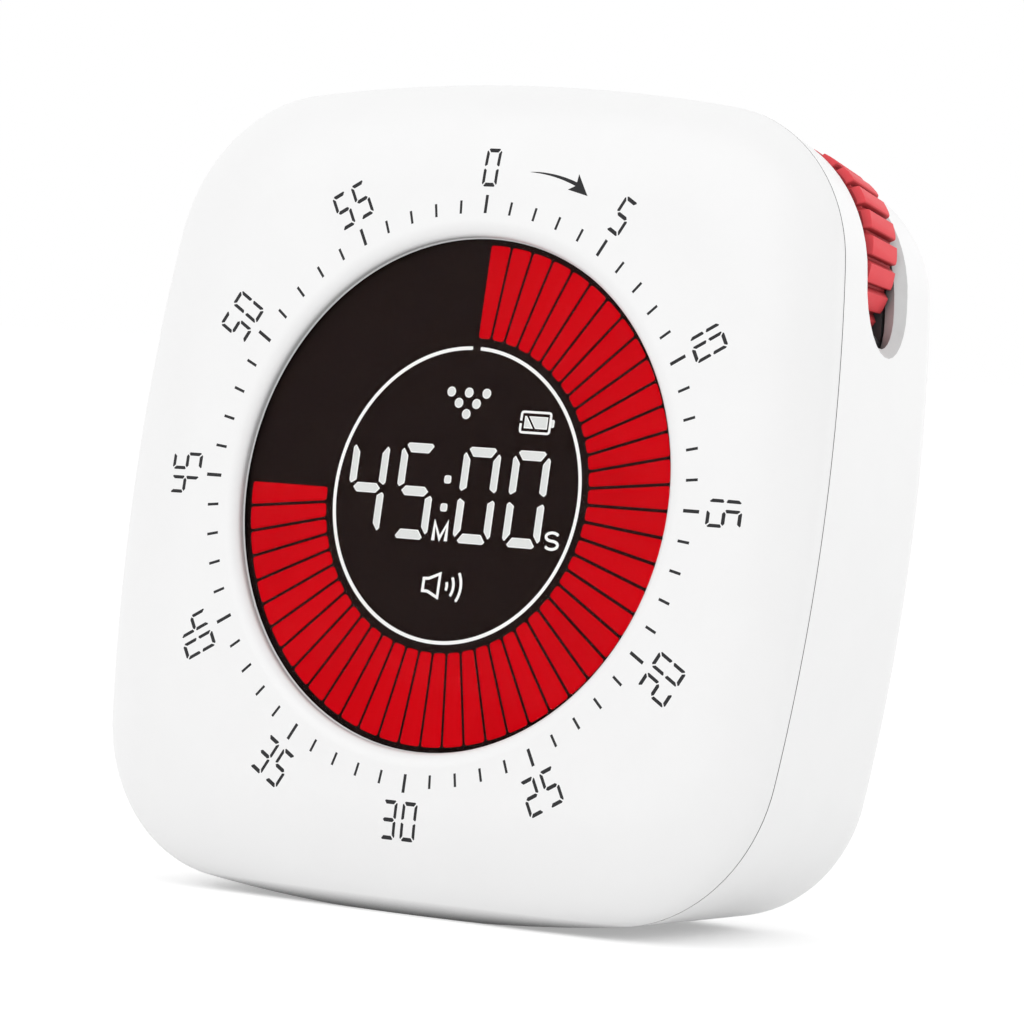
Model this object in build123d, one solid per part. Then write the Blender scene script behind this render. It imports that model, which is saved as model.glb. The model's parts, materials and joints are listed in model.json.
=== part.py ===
from build123d import *
import os
from math import atan2, cos, degrees, pi, radians, sin, sqrt, tan

# A desk countdown timer: a white two-part plastic case with a round display in its face,
# a ribbed wheel in a slot across one corner, and batteries behind a hinged lid.
#
# Every piece is drawn with the timer on its back: X to the right, Y up the dial, and Z out of
# the dial face. A depth is a distance behind that face, so depth 5 is Z = -5. stand_up() then
# sets the finished pieces on their base, leaning back on the taper of the rear cover.

# ---------------------------------------------------------------- driving dimensions, in mm

# Case
case_width = 84.0
case_depth = 29.0
side_bow_radius = 208.0       # the four sides are shallow arcs
corner_radius = 17.3
seam_depth = 3.75             # where the front cover meets the rear cover
roll_width = 11.0             # width of the soft round front edge
shell_wall = 1.8
draft = 8.3                   # taper of the rear cover in degrees, and so how far the timer leans
rear_edge_radius = 5.0
seam_gap = 0.12
tongue_wall = 0.8             # lip of the rear cover that locates the front cover
tongue_height = 0.8
fit_gap = 0.1                 # assembly clearance between two moulded pieces
land_depth = 0.2              # how much is taken off the bowed underside for the flat to stand on

# Display opening and window
opening_radius = 26.0
display_depth = 1.5
opening_roll_width = 1.8
opening_roll_depth = 0.65
window_overlap = 2.5          # how far the window reaches under the front cover
window_thickness = 0.8
tape_thickness = 0.1
tape_width = 2.0

# Liquid crystal cell and its light
glass_margin = 1.0            # how far the glass reaches past the opening
glass_thickness = 0.55
film_margin = 0.4             # from the edge of a film to the edge of the glass
film_thickness = 0.2
light_guide_thickness = 1.5
ledge_width = 28.0            # contact ledge of the front glass
ledge_reach = 3.5
strip_width = 24.0
strip_thickness = 2.0
led_length = 3.0
led_width = 1.2
led_height = 1.0
led_angle = 45.0
led_lead = 0.5

# Display frame and main board
frame_wall = 2.0
frame_floor = 0.8
ear_thickness = 1.4
ear_radius = 2.8
ear_reach = 3.6               # from the frame's ring to the centres of its ears
ear_angle = 20.0
board_thickness = 1.2
board_margin = 1.7            # from the outermost screw to the edge of the main board
board_height = 56.0
board_offset = 3.0            # centre of the main board above the dial centre
board_corner_radius = 8.0
board_tab_width = 30.0
board_tab_margin = 2.0        # from the end of the glass to the lower end of the tab
notch_gap = 0.6               # clearance of a board round a boss

# Electronic parts on the main board
chip_size = 10.0
chip_height = 1.4
capacitor_radius = 2.5
capacitor_height = 4.5
crystal_radius = 1.0
crystal_length = 6.0
chip_lead_count = 8           # on each side
chip_lead_pitch = 1.0
chip_lead_length = 1.0
chip_lead_thickness = 0.25
resistor_length = 2.0
resistor_width = 1.25
resistor_height = 0.5
resistor_count = 6
resistor_pitch = 2.2
chip_x = 0.0                  # places on the main board
chip_y = 6.0
capacitor_x = -15.0
capacitor_y = 6.0
crystal_x = 0.0
crystal_y = 15.0
resistor_y = -3.0
header_offset = 3.2           # of the facing plug connectors, left of the wheel's axis
header_drop = 15.6            # and below it
header_length = 5.0
header_width = 3.2
header_height = 3.6
ribbon_width = 4.2
ribbon_thickness = 0.8

# Wheel
diagonal = 45.0               # direction of the wheel's corner from the dial centre, in degrees
wheel_inset = 14.6            # of the wheel's axis from the middles of the two sides by it
wheel_radius = 10.95          # at the ridge of its crowned rim
wheel_front_radius = 10.1
wheel_rear_radius = 10.25
wheel_width = 6.4
wheel_ridge_setback = 1.0     # from the front face to the ridge
tooth_count = 25
tooth_height = 0.75
tooth_land = 0.46             # shares of the tooth pitch, going clockwise: the top of the tooth,
tooth_bevel = 0.16            # the bevel behind it,
tooth_step = 0.055            # the steep step down to the root
tooth_root = 0.19             # and the root, before the ramp up to the next tooth
tooth_bevel_drop = 0.25
first_tooth_angle = 47.8      # where the top of one tooth ends, in degrees from X
rim_thickness = 2.2
web_thickness = 1.6
hub_radius = 4.6
hub_recess = 1.0              # how far the hub lies behind the rear face of the rim

# Slot for the wheel
slot_to_back = 14.6           # from the middle of the slot and of the wheel to the back
slot_half_width = 3.6
slot_half_length = 14.0
slot_bevel_width = 1.6
slot_bevel_depth = 1.0

# Wheel carrier and encoder
carrier_gap = 0.85            # radial space round the wheel
carrier_wall = 1.0
carrier_floor = 1.2
carrier_floor_gap = 0.4       # from the wheel to the floor of the carrier
carrier_height = 8.4
carrier_case_gap = 0.4
spacer_radius = 2.6
spacer_circle_radius = 15.6
spacer_angle = 55.0           # from the diagonal, on the inner side of the wheel
encoder_size = 10.0
encoder_height = 4.8
bush_radius = 3.5
bush_length = 2.2
encoder_shaft_radius = 2.4
shaft_flat = 0.6
bracket_thickness = 0.4
running_clearance = 0.05
rear_board_thickness = 1.2
rear_board_gap = 1.8          # from the rear board to the back wall
rear_board_arm = 13.0
rear_board_inset = 8.0        # of its outer edges from the middles of the sides
rear_board_left_margin = 6.5  # from the switch to the left end of the rear board
rear_board_drop = 18.6        # from the wheel's axis to its lower end
rear_board_corner_radius = 10.0

# Volume switch
switch_offset = 24.4          # left of the wheel's axis
switch_inset = 14.0           # below the middle of the top side
switch_travel = 2.0           # each way from the middle position
switch_body_length = 8.6
switch_body_width = 4.4
switch_body_height = 3.4
stem_size = 1.5
knob_length = 5.0
knob_width = 3.4
knob_height = 0.7
knob_corner_radius = 0.5
knob_ridge_count = 3
knob_groove_pitch = 1.2
knob_groove_depth = 0.35
knob_neck_wall = 0.4
slide_gap = 0.3               # round what slides in the case
switch_recess_depth = 0.9

# Cells, their bay and its lid
cell_radius = 5.25
cell_length = 44.5
cell_nub_radius = 1.9
cell_nub_length = 0.8
cell_gap = 0.3
bay_rise = 30.0               # of the bay's middle above the middle of the underside
bay_wall = 1.2
spring_space = 5.0
contact_thickness = 0.3
contact_width = 8.0
contact_height = 8.0
contact_tab_width = 2.4
contact_tab_reach = 1.2       # of the solder tabs past the floor of the bay
lead_radius = 0.6
spring_wire_radius = 0.3
spring_turns = 3
spring_steps = 8              # straight steps in one turn of the wire
spring_foot_radius = 3.4
spring_tip_radius = 2.2
door_thickness = 2.0
door_margin = 1.8             # how far the lid reaches past the bay
door_gap = 0.25
door_corner_radius = 2.5
door_ledge = 1.6
hinge_pin_radius = 0.6
hinge_pin_length = 1.2
door_rib_length = 40.0
door_rib_height = 2.4
latch_width = 9.0
latch_reach = 4.5             # length of the slits that free the latch
latch_slit = 0.8
latch_wall = 0.9
latch_height = 1.8
latch_gap = 0.35
grip_count = 3
grip_pitch = 1.2
grip_depth = 0.3
finger_notch_radius = 5.0
finger_notch_depth = 0.9

# Buzzer, magnets and screws
buzzer_inset = 21.0           # from the middle of the left side
buzzer_gap = 1.2              # between its ring and the frame of the lid
buzzer_radius = 7.5
buzzer_thickness = 0.25
ceramic_radius = 5.0
buzzer_seat = 0.8
buzzer_height = 2.6           # of the disc above the back wall
grille_slot_width = 1.2
grille_pitch = 2.2
grille_count = 5
grille_radius = 5.6
magnet_radius = 4.0
magnet_thickness = 3.0
magnet_pad = 0.8
magnet_wall = 0.8
case_boss_radius = 2.4
case_boss_depth = 14.0        # where the bosses of the two covers meet
case_screw_radius = 1.25
case_screw_head_radius = 2.4
case_screw_head_height = 1.6
case_screw_length = 9.0
boss_floor = 2.0
boss_root = 0.9               # depth at which the front cover's bosses start
boss_wall = 1.0
boss_gap = 0.4                # between the right boss and the display frame
head_gap = 0.3
small_boss_radius = 2.2
small_screw_radius = 1.0
small_screw_head_radius = 1.9
small_screw_head_height = 1.2
small_screw_bite = 3.0        # how far a board screw goes into its boss
carrier_screw_bite = 1.9      # how far a carrier screw goes into the back wall's post
thread_gap = 0.02

# Places of the case screws and of the magnets, from the middles of the case's sides
corner_screw_inset = 14.8
foot_screw_x = 22.0
foot_screw_inset = 13.0
foot_magnet_x = 8.0
foot_magnet_inset = 10.4
upper_magnet_x = 4.0          # middle of the upper pair
upper_magnet_spread = 7.0

# ---------------------------------------------------------------- sizes that follow from them

taper = tan(radians(draft))
half_width = case_width / 2
back_wall_depth = case_depth - shell_wall
glass_radius = opening_radius + glass_margin
film_radius = glass_radius - film_margin
window_back = display_depth + window_thickness
front_glass_depth = window_back + film_thickness
rear_glass_depth = front_glass_depth + glass_thickness
colour_film_depth = rear_glass_depth + glass_thickness
diffuser_depth = colour_film_depth + film_thickness
light_guide_depth = diffuser_depth + film_thickness
reflector_depth = light_guide_depth + light_guide_thickness
frame_floor_depth = reflector_depth + film_thickness
board_depth = frame_floor_depth + ear_thickness
board_back = board_depth + board_thickness
window_radius = opening_radius + window_overlap
frame_radius = glass_radius + 2 * fit_gap + frame_wall
ear_circle_radius = frame_radius + ear_reach
board_width = 2 * (ear_circle_radius + board_margin)
ledge_end = glass_radius + ledge_reach
board_tab_reach = ledge_end + board_tab_margin
strip_centre = ledge_end - strip_thickness / 2 - fit_gap
wheel_centre = half_width - wheel_inset
slot_centre_depth = case_depth - slot_to_back
wheel_front_depth = slot_centre_depth - wheel_width / 2
wheel_ridge_depth = wheel_front_depth + wheel_ridge_setback
wheel_rear_depth = slot_centre_depth + wheel_width / 2
carrier_floor_depth = wheel_rear_depth + carrier_floor_gap
carrier_outer_radius = wheel_radius + carrier_gap + carrier_wall
rear_board_depth = back_wall_depth - rear_board_gap - rear_board_thickness
rear_board_back = rear_board_depth + rear_board_thickness
encoder_depth = rear_board_depth - encoder_height
bush_depth = encoder_depth - bush_length
switch_x = wheel_centre - switch_offset
switch_y = half_width - switch_inset
header_x = wheel_centre - header_offset
header_y = wheel_centre - header_drop
rear_board_reach = half_width - rear_board_inset
rear_board_inner = rear_board_reach - rear_board_arm
rear_board_left = switch_x - rear_board_left_margin
rear_board_foot = wheel_centre - rear_board_drop
door_inner_depth = case_depth - door_thickness
hinge_depth = case_depth - door_thickness / 2
cell_centre_depth = door_inner_depth - cell_gap - cell_radius
bay_floor_depth = cell_centre_depth - cell_radius - cell_gap
bay_length = cell_length + spring_space + 2 * contact_thickness
bay_height = 4 * cell_radius + 3 * cell_gap
door_length = bay_length + 2 * door_margin
door_height = bay_height + 2 * door_margin
bay_centre = bay_rise - half_width
door_bottom = bay_centre - door_height / 2
hinge_y = door_bottom + door_thickness / 2
lid_frame_margin = door_gap + door_ledge
lid_frame_top = bay_centre + door_height / 2 + lid_frame_margin
buzzer_depth = back_wall_depth - buzzer_height
buzzer_wall_radius = buzzer_radius + 2 * fit_gap + boss_wall
buzzer_x = buzzer_inset - half_width
buzzer_y = lid_frame_top + buzzer_gap + buzzer_wall_radius
case_screw_seat = case_boss_depth + boss_floor
right_boss_x = frame_radius + boss_gap + case_boss_radius
corner_boss = half_width - corner_screw_inset
cell_row_gap = 2 * cell_radius + cell_gap
knob_track_depth = case_depth - switch_recess_depth
knob_neck_size = stem_size + 2 * knob_neck_wall
stem_end_depth = knob_track_depth + knob_height / 2


# ---------------------------------------------------------------- shapes used by many pieces

def slab(sketch, depth, thickness):
    """A flat sketch made solid, its front at depth and its back thickness further behind."""
    return Pos(0, 0, -depth - thickness) * extrude(sketch, thickness)


def rod(x, y, radius, depth, length):
    """A round bar along the depth of the case, its front end at depth."""
    return Pos(x, y, -depth - length / 2) * Cylinder(radius, length)


def case_arcs():
    """One side and one corner of the case outline: centre, radius, first angle and swing."""
    side_centre = side_bow_radius - case_width / 2
    centre_distance = side_bow_radius - corner_radius
    corner_centre = (sqrt(2 * centre_distance**2 - side_centre**2) - side_centre) / 2
    joint = degrees(atan2(corner_centre, corner_centre + side_centre))
    side = ((-side_centre, 0, 0), side_bow_radius, -joint, 2 * joint)
    corner = ((corner_centre, corner_centre, 0), corner_radius, joint, 90 - 2 * joint)
    return side, corner


def case_outline(inset):
    """The bowed square of the case, moved inwards by inset, as a face at Z = 0."""
    arcs = []
    for quarter in range(4):
        for centre, radius, start, swing in case_arcs():
            arcs.append(Rot(0, 0, 90 * quarter) * CenterArc(centre, radius - inset, start, swing))
    return make_face(arcs)


def rim(section):
    """A section carried round the case outline; section(radius) draws it at that radius."""
    pieces = []
    for centre, radius, start, swing in case_arcs():
        across = (cos(radians(start)), sin(radians(start)), 0)
        plane = Plane(centre, x_dir=across, z_dir=(across[1], -across[0], 0))
        turned = revolve(plane * section(radius), Axis(centre, (0, 0, 1)), swing)
        for quarter in range(4):
            pieces.append(Rot(0, 0, 90 * quarter) * turned)
    return Part() + pieces


def tapered_block(inset, front_depth, back_depth):
    """The inside or outside of the rear cover: its outline shrinks with depth."""
    front = case_outline(inset + (front_depth - seam_depth) * taper)
    back = case_outline(inset + (back_depth - seam_depth) * taper)
    return loft([Pos(0, 0, -front_depth) * front, Pos(0, 0, -back_depth) * back], ruled=True)


def round_back_edge(block, radius):
    """The rearmost edge of a tapered block, rounded."""
    return fillet(block.faces().sort_by(Axis.Z)[0].edges(), radius)


def screw(x, y, seat_depth, shank_radius, head_radius, head_height, length):
    """A pan-head screw driven from behind: its head is behind seat_depth, its shank in front."""
    shank = rod(x, y, shank_radius, seat_depth - length, length)
    head = rod(x, y, head_radius, seat_depth, head_height)
    head = chamfer(head.faces().sort_by(Axis.Z)[0].edges(), head_height / 4)
    return shank + head


def case_screw_places():
    """Centres of the four case screws."""
    foot_y = foot_screw_inset - half_width
    foot = [(-foot_screw_x, foot_y), (foot_screw_x, foot_y)]
    return [(-corner_boss, corner_boss), (right_boss_x, 0), *foot]


def magnet_places():
    """Centres of the four magnets: two above the lid and two below it."""
    foot_y = foot_magnet_inset - half_width
    upper_y = (lid_frame_top + rear_board_inner) / 2
    left = upper_magnet_x - upper_magnet_spread
    right = upper_magnet_x + upper_magnet_spread
    return [(left, upper_y), (right, upper_y), (-foot_magnet_x, foot_y), (foot_magnet_x, foot_y)]


def ear_places():
    """Centres of the four ears that hold the display frame and the main board."""
    places = []
    for angle in (ear_angle, 180 - ear_angle, 180 + ear_angle, -ear_angle):
        x = ear_circle_radius * cos(radians(angle))
        places.append((x, ear_circle_radius * sin(radians(angle))))
    return places


def spacer_places():
    """Centres of the two spacers between the wheel carrier and the back wall."""
    places = []
    for side in (-1, 1):
        angle = radians(diagonal + 180 + side * spacer_angle)
        x = wheel_centre + spacer_circle_radius * cos(angle)
        places.append((x, wheel_centre + spacer_circle_radius * sin(angle)))
    return places


def base_cut():
    """What is taken off the underside to leave a flat land along the taper."""
    land = case_width / 2 - land_depth
    block = Pos(0, -case_width / 2, 0) * Box(2 * case_width, case_width, 2 * case_width)
    return Pos(0, -land, -seam_depth) * Rot(draft, 0, 0) * block


# ---------------------------------------------------------------- case

def front_rim_section(radius):
    """The soft front edge: an elliptical roll of even wall, cut off at the seam."""
    centre = (radius - roll_width, -seam_depth)
    outer = EllipticalCenterArc(centre, roll_width, seam_depth, 0, arc_size=90)
    inner_width = roll_width - shell_wall
    inner = EllipticalCenterArc(centre, inner_width, seam_depth - shell_wall, 0, arc_size=90)
    section = make_face([outer, Line(outer @ 1, inner @ 1), inner, Line(inner @ 0, outer @ 0)])
    seam = Pos(radius, -seam_depth) * Rectangle(2 * case_width, 2 * seam_gap)
    return section - seam


def opening_cutter():
    """The display opening, turned: a bore whose front edge rolls softly out to the face."""
    face_radius = opening_radius + opening_roll_width
    roll = EllipticalCenterArc(
        (face_radius, -opening_roll_depth), opening_roll_width, opening_roll_depth, 90, arc_size=90
    )
    outside = shell_wall
    inside = -2 * shell_wall
    outline = [
        roll,
        Polyline(roll @ 1, (opening_radius, inside), (0, inside), (0, outside)),
        Polyline((0, outside), (face_radius, outside), roll @ 0),
    ]
    return revolve(Plane.XZ * make_face(outline), Axis.Z)


def front_cover():
    """The face and its soft round edge, with the display opening and the bosses behind it."""
    cover = rim(front_rim_section) + slab(case_outline(roll_width), 0, shell_wall)
    rebate = case_outline(shell_wall - tongue_wall - fit_gap)
    cover -= slab(rebate, seam_depth - tongue_height - fit_gap, seam_depth)
    cover -= opening_cutter()
    cover -= rod(0, 0, window_radius + fit_gap, display_depth - tape_thickness, shell_wall)
    for x, y in case_screw_places():
        boss = rod(x, y, case_boss_radius, boss_root, case_boss_depth - boss_root)
        bore_radius = case_screw_radius + thread_gap
        bore_depth = case_screw_seat - case_screw_length - head_gap
        boss -= rod(x, y, bore_radius, bore_depth, case_boss_depth - bore_depth)
        cover += boss
    for x, y in ear_places():
        boss = rod(x, y, small_boss_radius, boss_root, frame_floor_depth - boss_root)
        bore_depth = frame_floor_depth - small_screw_bite
        boss -= rod(x, y, small_screw_radius + thread_gap, bore_depth, small_screw_bite)
        cover += boss
    return cover - base_cut()


def slot_plane(distance):
    """A plane across the case's diagonal at the slot, facing out, distance from the axis."""
    out = cos(radians(diagonal))
    origin = (distance * out, distance * out, -slot_centre_depth)
    return Plane(origin, x_dir=(out, -out, 0), z_dir=(out, out, 0))


def slotted_block():
    """The rear cover's outside with the wheel slot cut into it and its edge bevelled."""
    block = round_back_edge(tapered_block(0, seam_depth, case_depth), rear_edge_radius)
    inner_end = wheel_centre
    outline = SlotOverall(2 * slot_half_length, 2 * slot_half_width)
    throat = extrude(slot_plane(inner_end) * outline, case_width)
    slotted = block - throat
    mouth = [
        edge
        for edge in new_edges(block, throat, combined=slotted)
        if edge.center().X + edge.center().Y > 2 * wheel_centre
    ]
    return slotted.chamfer(slot_bevel_width, slot_bevel_depth, mouth)


def bay_outline(margin):
    """The battery bay seen from behind, larger by margin on every side."""
    return Pos(0, bay_centre) * Rectangle(bay_length + 2 * margin, bay_height + 2 * margin)


def door_outline(margin):
    """The lid of the bay seen from behind, larger by margin; only its upper corners are round."""
    outline = Rectangle(door_length + 2 * margin, door_height + 2 * margin)
    upper = outline.vertices().group_by(Axis.Y)[-1]
    return Pos(0, bay_centre) * fillet(upper, door_corner_radius + margin)


def add_screw_posts(cover):
    """Posts that meet the front cover's bosses, and two short ones below the rear board."""
    post_radius = case_screw_head_radius + head_gap + boss_wall
    for x, y in case_screw_places():
        cover += rod(x, y, post_radius, case_boss_depth, back_wall_depth - case_boss_depth)
    for x, y in spacer_places():
        cover += rod(x, y, spacer_radius, rear_board_back, back_wall_depth - rear_board_back)
    return cover


def drill_screw_holes(cover):
    """Deep counterbored holes for the case screws, and pilot holes for the carrier's."""
    for x, y in case_screw_places():
        shank = case_screw_radius + head_gap
        cover -= rod(x, y, shank, case_boss_depth, case_depth - case_boss_depth)
        head = case_screw_head_radius + head_gap
        cover -= rod(x, y, head, case_screw_seat, case_depth - case_screw_seat)
    for x, y in spacer_places():
        pilot = small_screw_radius + thread_gap
        cover -= rod(x, y, pilot, rear_board_back, carrier_screw_bite + head_gap)
    return cover


def add_battery_bay(cover):
    """The box for the two cells, the sunk frame for its lid and the holes for the hinge pins."""
    floor_front = bay_floor_depth - bay_wall
    cover += slab(bay_outline(bay_wall), floor_front, back_wall_depth - floor_front)
    frame_front = door_inner_depth - door_ledge
    frame_length = door_length + 2 * (lid_frame_margin + hinge_pin_length)
    frame = Pos(0, bay_centre) * Rectangle(frame_length, door_height + 2 * lid_frame_margin)
    cover += slab(frame, frame_front, back_wall_depth - frame_front)
    cover -= slab(bay_outline(0), bay_floor_depth, case_depth - bay_floor_depth)
    cover -= slab(door_outline(door_gap), door_inner_depth - fit_gap, case_depth)
    pin_span = door_length + 2 * (hinge_pin_length + door_gap)
    pin_hole = Cylinder(hinge_pin_radius + running_clearance, pin_span)
    cover -= Pos(0, hinge_y, -hinge_depth) * Rot(0, 90, 0) * pin_hole
    for row in (-1, 1):
        slot = Rectangle(2 * contact_thickness, contact_tab_width + 2 * fit_gap)
        slot = Pos(contact_thickness - bay_length / 2, bay_centre + row * cell_row_gap / 2) * slot
        cover -= slab(slot, floor_front, bay_wall)
    notch_y = bay_centre + door_height / 2 + door_gap
    notch_front = case_depth - finger_notch_depth
    return cover - rod(0, notch_y, finger_notch_radius, notch_front, case_depth)


def add_buzzer_seat(cover):
    """A ring that holds the buzzer disc off the back wall, and the slots that let it be heard."""
    seat_back = buzzer_depth + buzzer_thickness
    lip_front = buzzer_depth - buzzer_seat
    cover += rod(buzzer_x, buzzer_y, buzzer_wall_radius, lip_front, back_wall_depth - lip_front)
    pocket = buzzer_radius + fit_gap
    cover -= rod(buzzer_x, buzzer_y, pocket, lip_front, seat_back - lip_front)
    inside = buzzer_radius - buzzer_seat
    cover -= rod(buzzer_x, buzzer_y, inside, lip_front, back_wall_depth - lip_front)
    for row in range(grille_count):
        offset = (row - (grille_count - 1) / 2) * grille_pitch
        length = 2 * sqrt(grille_radius**2 - offset**2)
        slot = Pos(buzzer_x, buzzer_y + offset) * SlotOverall(length, grille_slot_width)
        cover -= slab(slot, back_wall_depth, 2 * shell_wall)
    return cover


def add_magnet_seats(cover):
    """Four rings behind the back wall that the magnets are glued into."""
    wall_radius = magnet_radius + fit_gap + magnet_wall
    pad_front = back_wall_depth - magnet_pad
    for x, y in magnet_places():
        ring_front = pad_front - magnet_thickness / 2
        cover += rod(x, y, wall_radius, ring_front, back_wall_depth - ring_front)
        cover -= rod(x, y, magnet_radius + fit_gap, ring_front, pad_front - ring_front)
    return cover


def add_switch_opening(cover):
    """The sunk track that the volume knob slides in, with a slot for its neck."""
    radius = knob_corner_radius + slide_gap
    length = knob_length + 2 * switch_travel + 2 * slide_gap
    track = RectangleRounded(length, knob_width + 2 * slide_gap, radius)
    cover -= slab(Pos(switch_x, switch_y) * track, knob_track_depth, case_depth)
    return cover - slab(travel_slot(knob_neck_size), back_wall_depth, case_depth)


def travel_slot(size):
    """The slot that something square needs to slide with the volume switch."""
    slot = Rectangle(size + 2 * switch_travel + 2 * slide_gap, size + 2 * slide_gap)
    return Pos(switch_x, switch_y) * slot


def rear_cover():
    """The tapered shell behind the seam, with everything that is moulded into it."""
    cavity = round_back_edge(
        tapered_block(shell_wall, seam_depth, back_wall_depth), rear_edge_radius - shell_wall
    )
    cover = slotted_block() - cavity
    tongue_outer = case_outline(shell_wall - tongue_wall)
    tongue = tongue_outer - case_outline(shell_wall)
    cover += slab(tongue, seam_depth - tongue_height, tongue_height)
    cover = add_screw_posts(cover)
    cover = add_magnet_seats(cover)
    cover = add_buzzer_seat(cover)
    cover = add_battery_bay(cover)
    cover = add_switch_opening(cover)
    cover = drill_screw_holes(cover)
    return cover - base_cut()


def case_screws():
    """The four screws that hold the two covers together."""
    screws = []
    for x, y in case_screw_places():
        screws.append(
            screw(
                x,
                y,
                case_screw_seat,
                case_screw_radius,
                case_screw_head_radius,
                case_screw_head_height,
                case_screw_length,
            )
        )
    return Part() + screws


# ---------------------------------------------------------------- display

def display_window():
    """Clear acrylic disc glued behind the opening."""
    return rod(0, 0, window_radius, display_depth, window_thickness)


def window_tape():
    """Ring of adhesive tape between the front cover and the window."""
    ring = Circle(window_radius) - Circle(window_radius - tape_width)
    return slab(ring, display_depth - tape_thickness, tape_thickness)


def front_polariser():
    """Film on the front of the glass cell."""
    return rod(0, 0, film_radius, window_back, film_thickness)


def front_glass():
    """The larger glass of the cell, with a ledge below that carries its contacts."""
    ledge_top = glass_radius / 2
    ledge = Rectangle(ledge_width, ledge_end - ledge_top)
    ledge = Pos(0, -(ledge_end + ledge_top) / 2) * ledge
    return slab(Circle(glass_radius) + ledge, front_glass_depth, glass_thickness)


def rear_glass():
    """The round rear glass of the cell."""
    return rod(0, 0, glass_radius, rear_glass_depth, glass_thickness)


def colour_film():
    """Printed film that colours the ring of the display."""
    return rod(0, 0, film_radius, colour_film_depth, film_thickness)


def diffuser_film():
    """Milky film that evens out the light."""
    return rod(0, 0, film_radius, diffuser_depth, film_thickness)


def led_notches(margin):
    """The four notches round the light guide that the lamps sit in."""
    length = led_length + 2 * margin
    reach = led_width + 2 * margin
    notch = Pos(film_radius - led_width / 2, 0) * Rectangle(reach, length)
    notches = [Rot(0, 0, led_angle + 90 * quarter) * notch for quarter in range(4)]
    return Sketch() + notches


def light_guide():
    """Clear disc that spreads the light of the lamps round its edge."""
    sketch = Circle(film_radius) - led_notches(2 * fit_gap)
    return slab(sketch, light_guide_depth, light_guide_thickness)


def reflector_film():
    """White film behind the light guide."""
    sketch = Circle(film_radius) - led_notches(2 * fit_gap)
    return slab(sketch, reflector_depth, film_thickness)


def backlight_leds():
    """Four side-lit lamps, each with two leads down to the main board."""
    top = light_guide_depth + fit_gap
    lead_top = top + led_height
    lamps = [slab(led_notches(0), top, led_height)]
    for quarter in range(4):
        for side in (-1, 1):
            place = Pos(film_radius - led_width / 2, side * (led_length / 2 - led_lead))
            lead = Rot(0, 0, led_angle + 90 * quarter) * place * Rectangle(led_lead, led_lead)
            lamps.append(slab(lead, lead_top, board_depth - lead_top))
    return Part() + lamps


def ledge_outline(margin):
    """The part of the frame round the contact ledge, larger by margin."""
    top = glass_radius / 2
    height = ledge_end + margin - top
    return Pos(0, -(top + height / 2)) * Rectangle(ledge_width + 2 * margin, height)


def strip_outline(margin):
    """The contact strip from the front, larger by margin on every side."""
    size = Rectangle(strip_width + 2 * margin, strip_thickness + 2 * margin)
    return Pos(0, -strip_centre) * size


def display_frame():
    """Black moulded tray that holds the glass, the films and the lamps against the window."""
    gap = 2 * fit_gap
    back = frame_floor_depth + frame_floor
    wall_height = frame_floor_depth - window_back
    outer = Circle(frame_radius) + ledge_outline(gap + frame_wall / 2)
    inner = Circle(glass_radius + gap) + ledge_outline(gap)
    frame = slab(outer, window_back, back - window_back)
    frame -= slab(inner, window_back, wall_height)
    ears = []
    for x, y in ear_places():
        angle = degrees(atan2(y, x))
        arm = Rot(0, 0, angle) * Pos(ear_circle_radius / 2, 0)
        ears.append(arm * SlotCenterToCenter(ear_circle_radius, 2 * ear_radius))
    ears = (Sketch() + ears) - Circle(glass_radius)
    frame += slab(ears, frame_floor_depth, ear_thickness)
    for x, y in ear_places():
        frame -= rod(x, y, small_screw_radius + head_gap, frame_floor_depth, ear_thickness)
    frame -= slab(led_notches(2 * fit_gap), frame_floor_depth, frame_floor)
    return frame - slab(strip_outline(gap), frame_floor_depth, frame_floor)


def contact_strip():
    """Rubber strip that joins the contacts of the glass to the main board."""
    top = rear_glass_depth
    return slab(strip_outline(0), top, board_depth - top)


# ---------------------------------------------------------------- main board

def main_board():
    """The printed circuit board behind the display frame."""
    outline = Pos(0, board_offset) * RectangleRounded(board_width, board_height, board_corner_radius)
    tab_top = board_offset - board_height / 4
    tab = Rectangle(board_tab_width, board_tab_reach + tab_top)
    outline += Pos(0, (tab_top - board_tab_reach) / 2) * tab
    for x, y in case_screw_places():
        outline -= Pos(x, y) * Circle(case_boss_radius + notch_gap)
    outline -= Pos(wheel_centre, wheel_centre) * Circle(carrier_outer_radius + notch_gap)
    corner = corner_boss - case_boss_radius - notch_gap + board_width / 2
    outline -= Pos(-corner, corner) * Rectangle(board_width, board_width)
    for x, y in ear_places():
        outline -= Pos(x, y) * Circle(small_screw_radius + head_gap)
    return slab(outline, board_depth, board_thickness)


def board_screws():
    """Four screws through the main board and the frame's ears into the front cover."""
    length = board_back - frame_floor_depth + small_screw_bite - head_gap
    screws = []
    for x, y in ear_places():
        screws.append(
            screw(
                x,
                y,
                board_back,
                small_screw_radius,
                small_screw_head_radius,
                small_screw_head_height,
                length,
            )
        )
    return Part() + screws


def controller_chip():
    """The square chip that runs the timer."""
    body = slab(Pos(chip_x, chip_y) * Rectangle(chip_size, chip_size), board_back, chip_height)
    return chamfer(body.faces().sort_by(Axis.Z)[0].edges(), chip_height / 4)


def chip_leads():
    """The leads of the chip, a row on each side."""
    leads = []
    for quarter in range(4):
        for index in range(chip_lead_count):
            along = (index - (chip_lead_count - 1) / 2) * chip_lead_pitch
            place = Pos((chip_size + chip_lead_length) / 2, along)
            lead = place * Rectangle(chip_lead_length, chip_lead_pitch / 2)
            lead = Pos(chip_x, chip_y) * Rot(0, 0, 90 * quarter) * lead
            leads.append(slab(lead, board_back, chip_lead_thickness))
    return Part() + leads


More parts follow.
